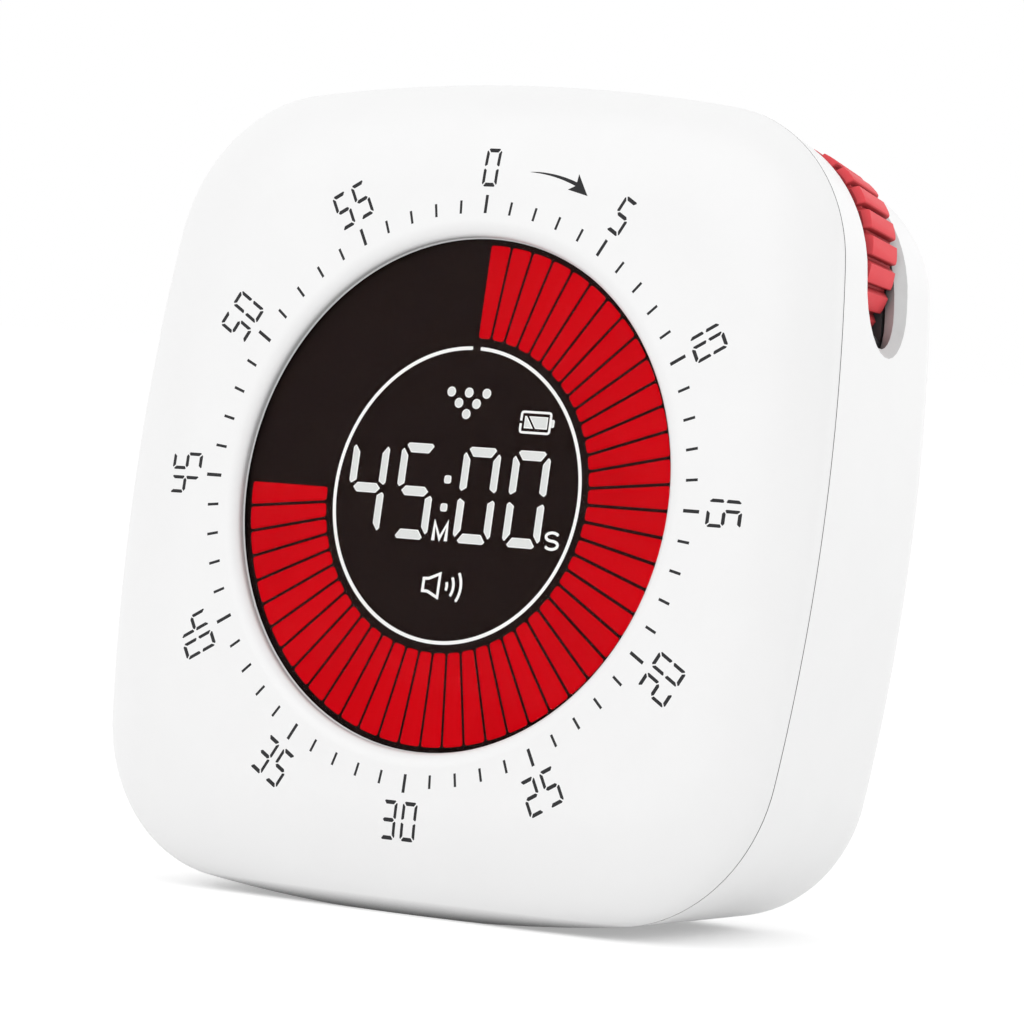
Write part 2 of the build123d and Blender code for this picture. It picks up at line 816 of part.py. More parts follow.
def electrolytic_capacitor():
    """The upright capacitor that steadies the supply."""
    can = rod(capacitor_x, capacitor_y, capacitor_radius, board_back, capacitor_height)
    return fillet(can.faces().sort_by(Axis.Z)[0].edges(), capacitor_radius / 5)


def quartz_crystal():
    """The metal can that keeps time, lying on the board."""
    can = Rot(0, 90, 0) * Cylinder(crystal_radius, crystal_length)
    return Pos(crystal_x, crystal_y, -board_back - crystal_radius) * can


def chip_resistors():
    """A row of small resistors beside the chip."""
    parts = []
    for index in range(resistor_count):
        x = chip_x + (index - (resistor_count - 1) / 2) * resistor_pitch
        outline = Pos(x, resistor_y) * Rectangle(resistor_width, resistor_length)
        parts.append(slab(outline, board_back, resistor_height))
    return Part() + parts


# ---------------------------------------------------------------- wheel and encoder

def tooth_outline(radius, depth):
    """The wheel's rim at one depth: blunt teeth with a bevelled trailing edge."""
    pitch = 360 / tooth_count
    root = radius - tooth_height
    bevel_end = tooth_bevel
    step_end = bevel_end + tooth_step
    root_end = step_end + tooth_root
    corners = [
        (-tooth_land, radius),
        (0, radius),
        (bevel_end, radius - tooth_bevel_drop),
        (step_end, root),
        (root_end, root),
    ]
    points = []
    for tooth in range(tooth_count):
        for share, distance in corners:
            angle = radians(first_tooth_angle - (share + tooth) * pitch)
            points.append((distance * cos(angle), distance * sin(angle)))
    face = make_face(Polyline(points, close=True))
    return Pos(wheel_centre, wheel_centre, -depth) * face


def thumbwheel():
    """The ribbed wheel: a crowned rim with teeth, a thin web and a hub on the encoder shaft."""
    rim_stations = [
        (wheel_front_radius, wheel_front_depth),
        (wheel_radius, wheel_ridge_depth),
        (wheel_rear_radius, wheel_rear_depth),
    ]
    wheel = loft([tooth_outline(radius, depth) for radius, depth in rim_stations], ruled=True)
    inner = wheel_radius - rim_thickness
    web_front = (wheel_front_depth + wheel_rear_depth - web_thickness) / 2
    web_back = web_front + web_thickness
    hub_back = wheel_rear_depth - hub_recess
    pocket = Pos(wheel_centre, wheel_centre) * (Circle(inner) - Circle(hub_radius))
    wheel -= slab(pocket, wheel_front_depth, web_front - wheel_front_depth)
    wheel -= slab(pocket, web_back, wheel_rear_depth - web_back)
    wheel -= rod(wheel_centre, wheel_centre, inner, hub_back, hub_recess)
    return wheel - slab(shaft_section(thread_gap), wheel_ridge_depth, case_depth)


def shaft_section(margin):
    """Round section of the encoder shaft with a flat that drives the wheel."""
    radius = encoder_shaft_radius + margin
    flat = Pos(0, radius + encoder_shaft_radius - shaft_flat) * Rectangle(4 * radius, 2 * radius)
    return Pos(wheel_centre, wheel_centre) * (Circle(radius) - flat)


def encoder_shaft():
    """The shaft: flatted inside the wheel and round inside the encoder."""
    hub_back = wheel_rear_depth - hub_recess
    flatted = slab(shaft_section(0), wheel_ridge_depth, hub_back - wheel_ridge_depth)
    end = encoder_depth + encoder_height - 2 * bracket_thickness
    return flatted + rod(wheel_centre, wheel_centre, encoder_shaft_radius, hub_back, end - hub_back)


def encoder_bracket():
    """Metal cap of the encoder: a plate with the shaft's bush and two legs."""
    tilt = Pos(wheel_centre, wheel_centre) * Rot(0, 0, diagonal)
    plate = tilt * Rectangle(encoder_size, encoder_size)
    cap = slab(plate, encoder_depth, bracket_thickness)
    cap += rod(wheel_centre, wheel_centre, bush_radius, bush_depth, encoder_depth - bush_depth)
    for side in (-1, 1):
        offset = side * (encoder_size + bracket_thickness) / 2
        leg = tilt * Pos(offset, 0) * Rectangle(bracket_thickness, encoder_size / 2)
        cap += slab(leg, encoder_depth, encoder_height)
    bore = encoder_shaft_radius + running_clearance
    return cap - rod(wheel_centre, wheel_centre, bore, bush_depth, case_depth)


def encoder_housing():
    """Moulded body of the encoder on the rear board."""
    tilt = Pos(wheel_centre, wheel_centre) * Rot(0, 0, diagonal)
    body = slab(
        tilt * Rectangle(encoder_size, encoder_size),
        encoder_depth + bracket_thickness,
        encoder_height - bracket_thickness,
    )
    bore = encoder_shaft_radius + running_clearance
    end = encoder_height - bracket_thickness
    return body - rod(wheel_centre, wheel_centre, bore, encoder_depth, end)


def wheel_carrier():
    """Black cup round the inner side of the wheel, with spacers that stand on the rear board."""
    axis = Pos(wheel_centre, wheel_centre)
    floor = axis * Circle(carrier_outer_radius)
    for x, y in spacer_places():
        floor += Pos(x, y) * Circle(spacer_radius)
        angle = degrees(atan2(y - wheel_centre, x - wheel_centre))
        arm = Rectangle(spacer_circle_radius, 2 * spacer_radius)
        floor += axis * Rot(0, 0, angle) * Pos(spacer_circle_radius / 2, 0) * arm
    carrier = slab(floor, carrier_floor_depth, carrier_floor)
    top = carrier_floor_depth + carrier_floor - carrier_height
    ring = Circle(carrier_outer_radius) - Circle(wheel_radius + carrier_gap)
    carrier += slab(axis * ring, top, carrier_height)
    carrier -= rod(wheel_centre, wheel_centre, bush_radius + 2 * fit_gap, top, case_depth)
    inset = shell_wall + carrier_case_gap
    carrier &= tapered_block(inset, seam_depth, rear_board_depth)
    floor_back = carrier_floor_depth + carrier_floor
    for x, y in spacer_places():
        carrier += rod(x, y, spacer_radius, floor_back, rear_board_depth - floor_back)
    for x, y in spacer_places():
        hole = small_screw_radius + head_gap
        carrier -= rod(x, y, hole, carrier_floor_depth, rear_board_depth - carrier_floor_depth)
    return carrier


def carrier_screws():
    """Two screws down through the carrier and the rear board into the back wall."""
    length = rear_board_back - carrier_floor_depth + carrier_screw_bite
    screws = []
    for x, y in spacer_places():
        forward = screw(
            0,
            0,
            0,
            small_screw_radius,
            small_screw_head_radius,
            small_screw_head_height,
            length,
        )
        screws.append(Pos(x, y, -carrier_floor_depth) * Rot(180, 0, 0) * forward)
    return Part() + screws


def rear_board():
    """The L-shaped board behind the wheel that carries the encoder and the volume switch."""
    reach = rear_board_reach
    inner = rear_board_inner
    corners = [
        (rear_board_left, reach),
        (rear_board_left, inner),
        (inner, inner),
        (inner, rear_board_foot),
        (reach, rear_board_foot),
        (reach, reach),
    ]
    outline = make_face(Polyline(corners, close=True))
    corner = outline.vertices().sort_by(lambda v: v.X + v.Y)[-1]
    outline = fillet(corner, rear_board_corner_radius)
    for x, y in spacer_places():
        outline -= Pos(x, y) * Circle(small_screw_radius + head_gap)
    outline -= travel_slot(stem_size)
    return slab(outline, rear_board_depth, rear_board_thickness)


def board_headers():
    """The two connectors that the ribbon cable plugs into, one on each board."""
    outline = Pos(header_x, header_y) * Rectangle(header_width, header_length)
    front = slab(outline, board_back, header_height)
    return front + slab(outline, rear_board_depth - header_height, header_height)


def ribbon_cable():
    """The flat cable between the two boards."""
    start = board_back + header_height
    outline = Pos(header_x, header_y) * Rectangle(ribbon_thickness, ribbon_width)
    return slab(outline, start, rear_board_depth - header_height - start)


# ---------------------------------------------------------------- volume switch

def switch_body():
    """Metal box of the slide switch, with a slot for its stem."""
    depth = rear_board_depth - switch_body_height
    outline = Pos(switch_x, switch_y) * Rectangle(switch_body_length, switch_body_width)
    body = slab(outline, depth, switch_body_height)
    return body - slab(travel_slot(stem_size), depth + stem_size, switch_body_height)


def switch_stem():
    """The stem that slides in the switch."""
    depth = rear_board_depth - switch_body_height + stem_size + 2 * fit_gap
    outline = Pos(switch_x, switch_y) * Rectangle(stem_size, stem_size)
    return slab(outline, depth, stem_end_depth - depth)


def volume_knob():
    """The knob in the back of the case, with a grooved top and a neck round the stem."""
    cap_front = knob_track_depth + fit_gap
    top = RectangleRounded(knob_length, knob_width, knob_corner_radius)
    knob = slab(Pos(switch_x, switch_y) * top, cap_front, knob_height)
    neck = Pos(switch_x, switch_y) * Rectangle(knob_neck_size, knob_neck_size)
    neck_front = back_wall_depth
    knob += slab(neck, neck_front, cap_front - neck_front)
    for index in range(knob_ridge_count + 1):
        x = switch_x + (index - knob_ridge_count / 2) * knob_groove_pitch
        groove = Pos(x, switch_y) * Rectangle(knob_groove_pitch / 2, knob_width)
        knob -= slab(groove, cap_front + knob_height - knob_groove_depth, knob_height)
    socket = Rectangle(stem_size + 2 * thread_gap, stem_size + 2 * thread_gap)
    socket = Pos(switch_x, switch_y) * socket
    return knob - slab(socket, neck_front, stem_end_depth - neck_front)


# ---------------------------------------------------------------- power

def battery_cells():
    """Two small cells side by side, facing opposite ways."""
    cells = []
    body_length = cell_length - cell_nub_length
    for row in (-1, 1):
        nub_end = -row * (bay_length / 2 - contact_thickness)
        body_end = nub_end + row * cell_nub_length
        body = Cylinder(cell_radius, body_length)
        nub = Cylinder(cell_nub_radius, cell_nub_length)
        y = bay_centre + row * cell_row_gap / 2
        body = Pos(body_end + row * body_length / 2, y, -cell_centre_depth) * Rot(0, 90, 0) * body
        nub = Pos(nub_end + row * cell_nub_length / 2, y, -cell_centre_depth) * Rot(0, 90, 0) * nub
        cells.append(body + nub)
    return Part() + cells


def contact_plates():
    """Sheet contacts at both ends of the bay: two with solder tabs, and one that joins the cells."""
    front = bay_floor_depth + cell_gap
    plates = []
    left = -bay_length / 2 + contact_thickness / 2
    for row in (-1, 1):
        y = bay_centre + row * cell_row_gap / 2
        plate = slab(Pos(left, y) * Rectangle(contact_thickness, contact_width), front, contact_height)
        tab = Pos(left, y) * Rectangle(contact_thickness, contact_tab_width)
        tab_front = bay_floor_depth - bay_wall - contact_tab_reach
        plates.append(plate + slab(tab, tab_front, front - tab_front))
    bridge = Pos(-left, bay_centre) * Rectangle(contact_thickness, contact_width + cell_row_gap)
    plates.append(slab(bridge, front, contact_height))
    return Part() + plates


def battery_springs():
    """Two conical wire springs that press the cells against their contacts."""
    points = []
    height = spring_space - 2 * spring_wire_radius - fit_gap
    last = spring_turns * spring_steps
    for step in range(last + 1):
        angle = 2 * pi * step / spring_steps
        radius = spring_foot_radius + (spring_tip_radius - spring_foot_radius) * step / last
        points.append((radius * cos(angle), radius * sin(angle), height * step / last))
    path = Polyline(points)
    section = Plane(path @ 0, z_dir=path % 0) * RegularPolygon(spring_wire_radius, 6)
    coil = sweep(section, path, transition=Transition.RIGHT)
    springs = []
    for row in (-1, 1):
        y = bay_centre + row * cell_row_gap / 2
        foot = row * (bay_length / 2 - contact_thickness - spring_wire_radius)
        springs.append(Pos(foot, y, -cell_centre_depth) * Rot(0, -row * 90, 0) * coil)
    return Part() + springs


def battery_leads():
    """Two short wires from the solder tabs to the main board."""
    leads = []
    x = -bay_length / 2 + contact_thickness + lead_radius
    tab_front = bay_floor_depth - bay_wall - contact_tab_reach
    for row in (-1, 1):
        y = bay_centre + row * cell_row_gap / 2
        leads.append(rod(x, y, lead_radius, board_back, tab_front + contact_tab_reach / 2 - board_back))
    return Part() + leads


def battery_door():
    """The lid: a plate with a round hinge edge, two pins, a stiffening rib and a spring latch."""
    hinge = Pos(0, hinge_y, -hinge_depth) * Rot(0, 90, 0)
    lid = slab(door_outline(0), door_inner_depth, door_thickness)
    square_edge = Pos(0, hinge_y - door_thickness) * Rectangle(2 * door_length, 2 * door_thickness)
    lid -= slab(square_edge, door_inner_depth, door_thickness)
    lid += hinge * Cylinder(door_thickness / 2, door_length)
    lid += hinge * Cylinder(hinge_pin_radius, door_length + 2 * hinge_pin_length)
    rib = Pos(0, bay_centre) * Rectangle(door_rib_length, latch_wall)
    lid += slab(rib, door_inner_depth - door_rib_height, door_rib_height)
    top = bay_centre + door_height / 2
    latch_y = bay_centre + bay_height / 2 - latch_gap - latch_wall / 2
    latch = Pos(0, latch_y) * Rectangle(latch_width, latch_wall)
    lid += slab(latch, door_inner_depth - latch_height, latch_height)
    for side in (-1, 1):
        slit = Pos(side * (latch_width + latch_slit) / 2, top) * Rectangle(latch_slit, 2 * latch_reach)
        lid -= slab(slit, door_inner_depth, door_thickness)
    for index in range(grip_count):
        y = top - (index + 1) * grip_pitch
        groove = Pos(0, y) * Rectangle(latch_width - 2 * latch_slit, grip_pitch / 2)
        lid -= slab(groove, case_depth - grip_depth, grip_depth)
    return lid


def buzzer_disc():
    """Thin brass disc of the sounder."""
    return rod(buzzer_x, buzzer_y, buzzer_radius, buzzer_depth, buzzer_thickness)


def buzzer_ceramic():
    """Ceramic wafer bonded to the disc."""
    depth = buzzer_depth - buzzer_thickness
    return rod(buzzer_x, buzzer_y, ceramic_radius, depth, buzzer_thickness)


def buzzer_leads():
    """Two wires from the disc and its wafer to the main board."""
    side = (buzzer_radius + ceramic_radius) / 2
    ceramic_front = buzzer_depth - buzzer_thickness
    wafer_lead = rod(buzzer_x, buzzer_y, lead_radius, board_back, ceramic_front - board_back)
    disc_lead = rod(buzzer_x + side, buzzer_y, lead_radius, board_back, buzzer_depth - board_back)
    return wafer_lead + disc_lead


def magnets():
    """Four disc magnets behind the back wall."""
    depth = back_wall_depth - magnet_pad - magnet_thickness
    discs = [rod(x, y, magnet_radius, depth, magnet_thickness) for x, y in magnet_places()]
    return Part() + discs


# ---------------------------------------------------------------- build and write

pieces = {
    "front_cover": front_cover(),
    "rear_cover": rear_cover(),
    "case_screws": case_screws(),
    "display_window": display_window(),
    "window_tape": window_tape(),
    "front_polariser": front_polariser(),
    "front_glass": front_glass(),
    "rear_glass": rear_glass(),
    "colour_film": colour_film(),
    "diffuser_film": diffuser_film(),
    "light_guide": light_guide(),
    "reflector_film": reflector_film(),
    "backlight_leds": backlight_leds(),
    "display_frame": display_frame(),
    "contact_strip": contact_strip(),
    "main_board": main_board(),
    "board_screws": board_screws(),
    "controller_chip": controller_chip(),
    "chip_leads": chip_leads(),
    "electrolytic_capacitor": electrolytic_capacitor(),
    "quartz_crystal": quartz_crystal(),
    "chip_resistors": chip_resistors(),
    "thumbwheel": thumbwheel(),
    "encoder_shaft": encoder_shaft(),
    "encoder_bracket": encoder_bracket(),
    "encoder_housing": encoder_housing(),
    "wheel_carrier": wheel_carrier(),
    "carrier_screws": carrier_screws(),
    "rear_board": rear_board(),
    "board_headers": board_headers(),
    "ribbon_cable": ribbon_cable(),
    "switch_body": switch_body(),
    "switch_stem": switch_stem(),
    "volume_knob": volume_knob(),
    "battery_cells": battery_cells(),
    "contact_plates": contact_plates(),
    "battery_springs": battery_springs(),
    "battery_leads": battery_leads(),
    "battery_door": battery_door(),
    "buzzer_disc": buzzer_disc(),
    "buzzer_ceramic": buzzer_ceramic(),
    "buzzer_leads": buzzer_leads(),
    "magnets": magnets(),
}

# The case leans back on its taper, with the origin under its middle on the table.
lean = Rot(90 - draft, 0, 0)
stance = (lean * (pieces["front_cover"] + pieces["rear_cover"])).bounding_box()
stand_up = Pos(0, -stance.center().Y, -stance.min.Z) * lean

os.makedirs("parts", exist_ok=True)
for name, piece in pieces.items():
    export_step(stand_up * piece, f"parts/{name}.step")
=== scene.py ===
import json
from math import asin, atan2, copysign, cos, degrees, pi, radians, sin, sqrt, tan

import bmesh
import bpy
from mathutils import Matrix, Vector


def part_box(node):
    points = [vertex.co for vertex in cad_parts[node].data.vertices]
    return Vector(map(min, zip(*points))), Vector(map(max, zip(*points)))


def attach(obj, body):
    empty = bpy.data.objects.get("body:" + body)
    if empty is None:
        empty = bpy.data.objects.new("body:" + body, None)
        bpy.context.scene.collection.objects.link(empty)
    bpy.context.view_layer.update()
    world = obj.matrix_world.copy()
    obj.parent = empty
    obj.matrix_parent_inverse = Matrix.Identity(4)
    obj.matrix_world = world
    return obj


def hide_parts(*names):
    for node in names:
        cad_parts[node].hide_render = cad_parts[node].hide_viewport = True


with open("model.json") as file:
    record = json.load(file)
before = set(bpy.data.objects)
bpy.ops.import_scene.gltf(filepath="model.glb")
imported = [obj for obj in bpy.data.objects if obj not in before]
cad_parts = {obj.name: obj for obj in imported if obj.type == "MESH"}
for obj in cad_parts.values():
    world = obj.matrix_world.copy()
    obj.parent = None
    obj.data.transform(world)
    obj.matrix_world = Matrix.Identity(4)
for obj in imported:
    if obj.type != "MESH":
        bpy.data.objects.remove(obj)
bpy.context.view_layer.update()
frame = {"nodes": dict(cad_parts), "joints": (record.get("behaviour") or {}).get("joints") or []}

# ---------------------------------------------------------------- bench and camera
# A desk countdown timer. Each piece is drawn in millimetres with the timer on its back: X to the
# right, Y up the dial and Z out of the dial face, from the middle of the face. A depth is a
# distance behind the face. The wheel's axis and the window then say how the timer stands.

WINDOW_MIDDLE = 1.9  # depth of the middle of the window
CAMERA_PLACE = (320.3, -49.2, 444.7)
CAMERA_FORWARD = (-0.5721, 0.0876, -0.8155)
CAMERA_UP = (-0.0643, 0.9864, 0.1510)
CAMERA_LENS = 194.8

wheel_joint = next(joint for joint in frame["joints"] if joint["name"] == "wheel_turn")
out_of_dial = Vector(wheel_joint["axis"]).normalized()
up_the_dial = out_of_dial.cross(Vector((1, 0, 0)))
window_low, window_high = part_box("display_window")
dial_centre = (window_low + window_high) / 2 + out_of_dial * WINDOW_MIDDLE / 1000
stance = Matrix((Vector((1, 0, 0)), up_the_dial, out_of_dial)).transposed()
bench = Matrix.Translation(dial_centre) @ (stance * 0.001).to_4x4()

forward = (stance @ Vector(CAMERA_FORWARD)).normalized()
across = forward.cross(stance @ Vector(CAMERA_UP)).normalized()
facing = Matrix((across, across.cross(forward), -forward)).transposed()
camera = bpy.data.objects.new("camera", bpy.data.cameras.new("camera"))
camera.data.lens = CAMERA_LENS
camera.data.clip_start = 0.01
camera.matrix_world = Matrix.Translation(bench @ Vector(CAMERA_PLACE)) @ facing.to_4x4()
bpy.context.scene.collection.objects.link(camera)
bpy.context.scene.camera = camera

# ---------------------------------------------------------------- front cover
# The face and its soft round edge are one white ABS moulding with a polished cavity side. The
# display opening rolls softly inwards, and bosses behind the face take the screws from the back.

HALF_WIDTH = 42.0
BOW_RADIUS = 208.0  # the four sides are shallow arcs
CORNER_RADIUS = 17.3
SIDE_STEPS = 28
CORNER_STEPS = 20
SEAM_DEPTH = 3.75
SEAM_GAP = 0.12
ROLL_WIDTH = 11.0  # width of the soft front edge
ROLL_STEPS = 30
SHELL_WALL = 1.8
DRAFT = 8.3  # degrees by which the sides of the rear cover lean inwards
TAPER = tan(radians(DRAFT))
BACK_DEPTH = 29.0
BACK_EDGE_RADIUS = 5.0
LAND_DEPTH = 0.2  # taken off the bowed underside for the flat to stand on
OPENING_RADIUS = 26.0
OPENING_ROLL = (1.6, 0.9)  # width and depth
OPENING_FOOT = 0.12  # a small chamfer where the opening meets the window
OPENING_ROLL_STEPS = 12
POCKET_RADIUS = 28.6
POCKET_DEPTH = 1.4
TONGUE_WALL = 0.8
TONGUE_HEIGHT = 0.8
FIT_GAP = 0.1
BOSS_ROOT = 0.9
CASE_SCREW_PLACES = ((-27.2, 27.2), (32.0, 0.0), (-22.0, -29.0), (22.0, -29.0))
CASE_BOSS = (2.4, 1.27, 14.0, 8.7)  # radius, bore, end, start of the bore
EAR_BOSS = (2.2, 1.02, 5.6, 2.6)
EAR_CIRCLE = 32.8
EAR_ANGLE = 20.0
ABS_INDEX = 1.54  # how strongly it bends light
TONE_DRIFT = 12.0  # how much wider a tone drifts than its grain
ALONG_CASE = 0.965  # cosine up to which a facet counts as part of the case's curve
TINY = 1e-4  # no distance at all, but for rounding

side_centre = BOW_RADIUS - HALF_WIDTH
corner_centre = (sqrt(2 * (BOW_RADIUS - CORNER_RADIUS) ** 2 - side_centre**2) - side_centre) / 2
joint_angle = degrees(atan2(corner_centre, corner_centre + side_centre))
back_edge_start = BACK_DEPTH - BACK_EDGE_RADIUS * (1 - sin(radians(DRAFT)))


def outline(inset, depth):
    """Points round the case, moved inwards by inset; the underside has its flat land."""
    arcs = (
        (-side_centre, 0, BOW_RADIUS, -joint_angle, 2 * joint_angle, SIDE_STEPS),
        (corner_centre, corner_centre, CORNER_RADIUS, joint_angle, 90 - 2 * joint_angle, CORNER_STEPS)
    )
    land = LAND_DEPTH - HALF_WIDTH + (depth - SEAM_DEPTH) * TAPER
    ring = []
    for quarter in range(4):
        for x, y, radius, start, swing, steps in arcs:
            for step in range(steps):
                angle = radians(start + swing * step / steps)
                point = Vector((x + (radius - inset) * cos(angle), y + (radius - inset) * sin(angle)))
                point.rotate(Matrix.Rotation(radians(90 * quarter), 2))
                ring.append((point.x, max(point.y, land), -depth))
    return ring


def dial_circle(radius, depth):
    """A circle whose points lie towards those of the case outline."""
    directions = [atan2(y, x) for x, y, z in outline(ROLL_WIDTH, 0)]
    return [(radius * cos(turn), radius * sin(turn), -depth) for turn in directions]


def loft(rings, closed=False):
    """A skin over rings of as many points each, capped at its ends or joined to its start."""
    shape = bmesh.new()
    rows = [[shape.verts.new(point) for point in ring] for ring in rings]
    following = rows[1:] + rows[:1] if closed else rows[1:]
    for row, after in zip(rows, following):
        for step in range(len(row)):
            shape.faces.new((row[step], row[step - 1], after[step - 1], after[step]))
    if not closed:
        shape.faces.new(rows[0])
        shape.faces.new(rows[-1])
    bmesh.ops.recalc_face_normals(shape, faces=shape.faces)
    return as_mesh(shape)


def as_mesh(shape):
    """A bmesh as a plain mesh."""
    mesh = bpy.data.meshes.new("bench")
    shape.to_mesh(mesh)
    shape.free()
    return mesh


def joined(*parts):
    """Several meshes as one."""
    shape = bmesh.new()
    for part in parts:
        shape.from_mesh(part)
    return as_mesh(shape)


def turned(profile, x=0.0, y=0.0, steps=48):
    """A lathe-turned shape along the depth, from pairs of radius and depth."""
    turns = [2 * pi * step / steps for step in range(steps)]
    rings = []
    for radius, depth in profile:
        rings.append([(x + radius * cos(turn), y + radius * sin(turn), -depth) for turn in turns])
    return loft(rings)


def case_edge(x, y):
    """How far inside the case outline a point of the dial is, and the way straight out there."""
    quarter = round(degrees(atan2(y, x)) / 90)
    turn = Matrix.Rotation(radians(90 * quarter), 2)
    point = turn.transposed() @ Vector((x, y))
    out = point + Vector((side_centre, 0))
    radius = BOW_RADIUS
    if abs(degrees(atan2(out.y, out.x))) > joint_angle:
        out = point - Vector((corner_centre, copysign(corner_centre, point.y)))
        radius = CORNER_RADIUS
    return radius - out.length, turn @ out.normalized()


def case_normal(point):
    """The way out of the case's outer surface at a point on it, or None inside the opening."""
    inset, out = case_edge(point.x, point.y)
    depth = -point.z
    if depth > SEAM_DEPTH - SEAM_GAP / 2:
        if depth < back_edge_start:
            slope = radians(DRAFT)
        else:
            slope = asin(min(1, (depth - BACK_DEPTH) / BACK_EDGE_RADIUS + 1))
        return Vector((*(out * cos(slope)), -sin(slope)))
    if inset < ROLL_WIDTH:
        along = 1 - inset / ROLL_WIDTH
        rise = sqrt(1 - along**2) / SEAM_DEPTH
        return Vector((*(out * along / ROLL_WIDTH), rise)).normalized()
    return Vector((0, 0, 1)) if depth < TINY else None


def smoothed(mesh, angle=30):
    """Smooth shading, but for edges sharper than an angle in degrees."""
    for polygon in mesh.polygons:
        polygon.use_smooth = True
    mesh.set_sharp_from_angle(angle=radians(angle))
    return mesh


def case_smoothed(mesh):
    """Smooth shading that follows the case's true curve, also next to what is cut into it."""
    smoothed(mesh)
    normals = [Vector(corner.vector) for corner in mesh.corner_normals]
    for polygon in mesh.polygons:
        for loop in polygon.loop_indices:
            true = case_normal(mesh.vertices[mesh.loops[loop].vertex_index].co)
            if true and polygon.normal.dot(true) > ALONG_CASE:
                normals[loop] = true
    mesh.normals_split_custom_set(normals)
    return mesh


def linear(hex_colour):
    """An sRGB hex colour as the linear colour that a shader takes."""
    channels = [int(hex_colour[place : place + 2], 16) / 255 for place in (1, 3, 5)]
    return [c / 12.92 if c <= 0.04045 else ((c + 0.055) / 1.055) ** 2.4 for c in channels] + [1.0]


def add(tree, kind, inputs=None, **settings):
    """Adds a node: inputs are values, sockets or nodes to link, by name or by place."""
    made = tree.nodes.new(kind)
    for name, value in settings.items():
        setattr(made, name, value)
    for name, value in (inputs or {}).items():
        if isinstance(value, bpy.types.Node):
            value = value.outputs[0]
        if isinstance(value, bpy.types.NodeSocket):
            tree.links.new(value, made.inputs[name])
        else:
            made.inputs[name].default_value = value
    return made


def empty_tree(owner):
    """The shader tree of a material or of the surroundings, with nothing in it."""
    owner.use_nodes = True
    owner.node_tree.nodes.clear()
    return owner.node_tree


def noise(tree, scale, detail=2.0):
    """A cloudy pattern that belongs to the piece, with so many clouds to the metre."""
    place = add(tree, "ShaderNodeTexCoord").outputs["Object"]
    return add(tree, "ShaderNodeTexNoise", {"Vector": place, "Scale": scale, "Detail": detail})


def drifting(tree, scale, colours, positions):
    """A colour that drifts between two over a cloudy pattern."""
    tone = add(tree, "ShaderNodeValToRGB", {"Fac": noise(tree, scale)})
    for stop, colour, position in zip(tone.color_ramp.elements, colours, positions):
        stop.color = linear(colour)
        stop.position = position
    return tone


def finish(name, light, dark, grain, gloss, relief=0.0, painted_shade_reach=0.0, **shader):
    """A surface whose tone drifts between two colours, with gloss and relief on a finer grain.

    grain is the size of that grain, relief its height, and painted_shade_reach how near another
    surface darkens this one's colour with painted shade, in millimetres. gloss is the lowest and highest
    roughness.
    """
    material = bpy.data.materials.new(name)
    tree = empty_tree(material)
    fine = noise(tree, 1000 / grain)
    colour = drifting(tree, 1000 / grain / TONE_DRIFT, (dark, light), (0.35, 0.65))
    smooth, dull = gloss
    spread = {"Value": fine, "From Min": 0.3, "From Max": 0.7, "To Min": smooth, "To Max": dull}
    # Painted shade: an ambient occlusion node darkens the base colour near other surfaces.
    if painted_shade_reach:
        shade = {"Color": colour, "Distance": painted_shade_reach / 1000}
        colour = add(tree, "ShaderNodeAmbientOcclusion", shade, samples=8)
    inputs = {"Base Color": colour, "Roughness": add(tree, "ShaderNodeMapRange", spread), **shader}
    if relief:
        inputs["Normal"] = add(tree, "ShaderNodeBump", {"Height": fine, "Distance": relief / 1000})
    add(tree, "ShaderNodeOutputMaterial", {"Surface": add(tree, "ShaderNodeBsdfPrincipled", inputs)})
    return material


def piece(name, mesh, body, slot, material, *nodes):
    """Stands a bench mesh up in the frame as a piece that rides on a body and stands for nodes."""
    mesh.transform(bench)
    mesh.name = name
    if not mesh.materials:
        mesh.materials.append(material)
    thing = bpy.data.objects.new(name, mesh)
    bpy.context.scene.collection.objects.link(thing)
    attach(thing, body)
    if nodes:
        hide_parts(*nodes)
    return thing


def boss(x, y, radius, bore, end, bore_start):
    """A screw boss behind the face: a post with a blind bore from its end."""
    return turned([(radius, BOSS_ROOT), (radius, end), (bore, end), (bore, bore_start)], x, y, 32)


# Moulded ABS: even and nearly white, with a soft satin gloss and the faintest mottle, and painted shade
# that darkens it within 1.6 mm of other surfaces.
white_abs = finish(
    "moulded_white_abs", "#F8F8F8", "#F7F7F7", 0.5, (0.32, 0.36), 0.0004, 1.6, IOR=ABS_INDEX
)

roll_width, roll_depth = OPENING_ROLL
rings = [
    dial_circle(OPENING_RADIUS - OPENING_FOOT, POCKET_DEPTH),
    dial_circle(OPENING_RADIUS, POCKET_DEPTH - OPENING_FOOT)
]
for step in range(OPENING_ROLL_STEPS + 1):
    angle = pi / 2 * step / OPENING_ROLL_STEPS
    radius = OPENING_RADIUS + roll_width * (1 - cos(angle))
    rings.append(dial_circle(radius, roll_depth * (1 - sin(angle))))
seam_angle = asin(SEAM_GAP / SEAM_DEPTH)
for step in range(ROLL_STEPS + 1):
    angle = pi / 2 + (seam_angle - pi / 2) * step / ROLL_STEPS
    rings.append(outline(ROLL_WIDTH * (1 - cos(angle)), SEAM_DEPTH * (1 - sin(angle))))
rebate = SHELL_WALL - TONGUE_WALL - FIT_GAP
rebate_depth = SEAM_DEPTH - TONGUE_HEIGHT - FIT_GAP
rings.append(outline(rebate, SEAM_DEPTH - SEAM_GAP))
rings.append(outline(rebate, rebate_depth))
inner_width = ROLL_WIDTH - SHELL_WALL
inner_depth = SEAM_DEPTH - SHELL_WALL
start = asin((SEAM_DEPTH - rebate_depth) / inner_depth)
for step in range(OPENING_ROLL_STEPS + 1):
    angle = start + (pi / 2 - start) * step / OPENING_ROLL_STEPS
    rings.append(outline(ROLL_WIDTH - inner_width * cos(angle), SEAM_DEPTH - inner_depth * sin(angle)))
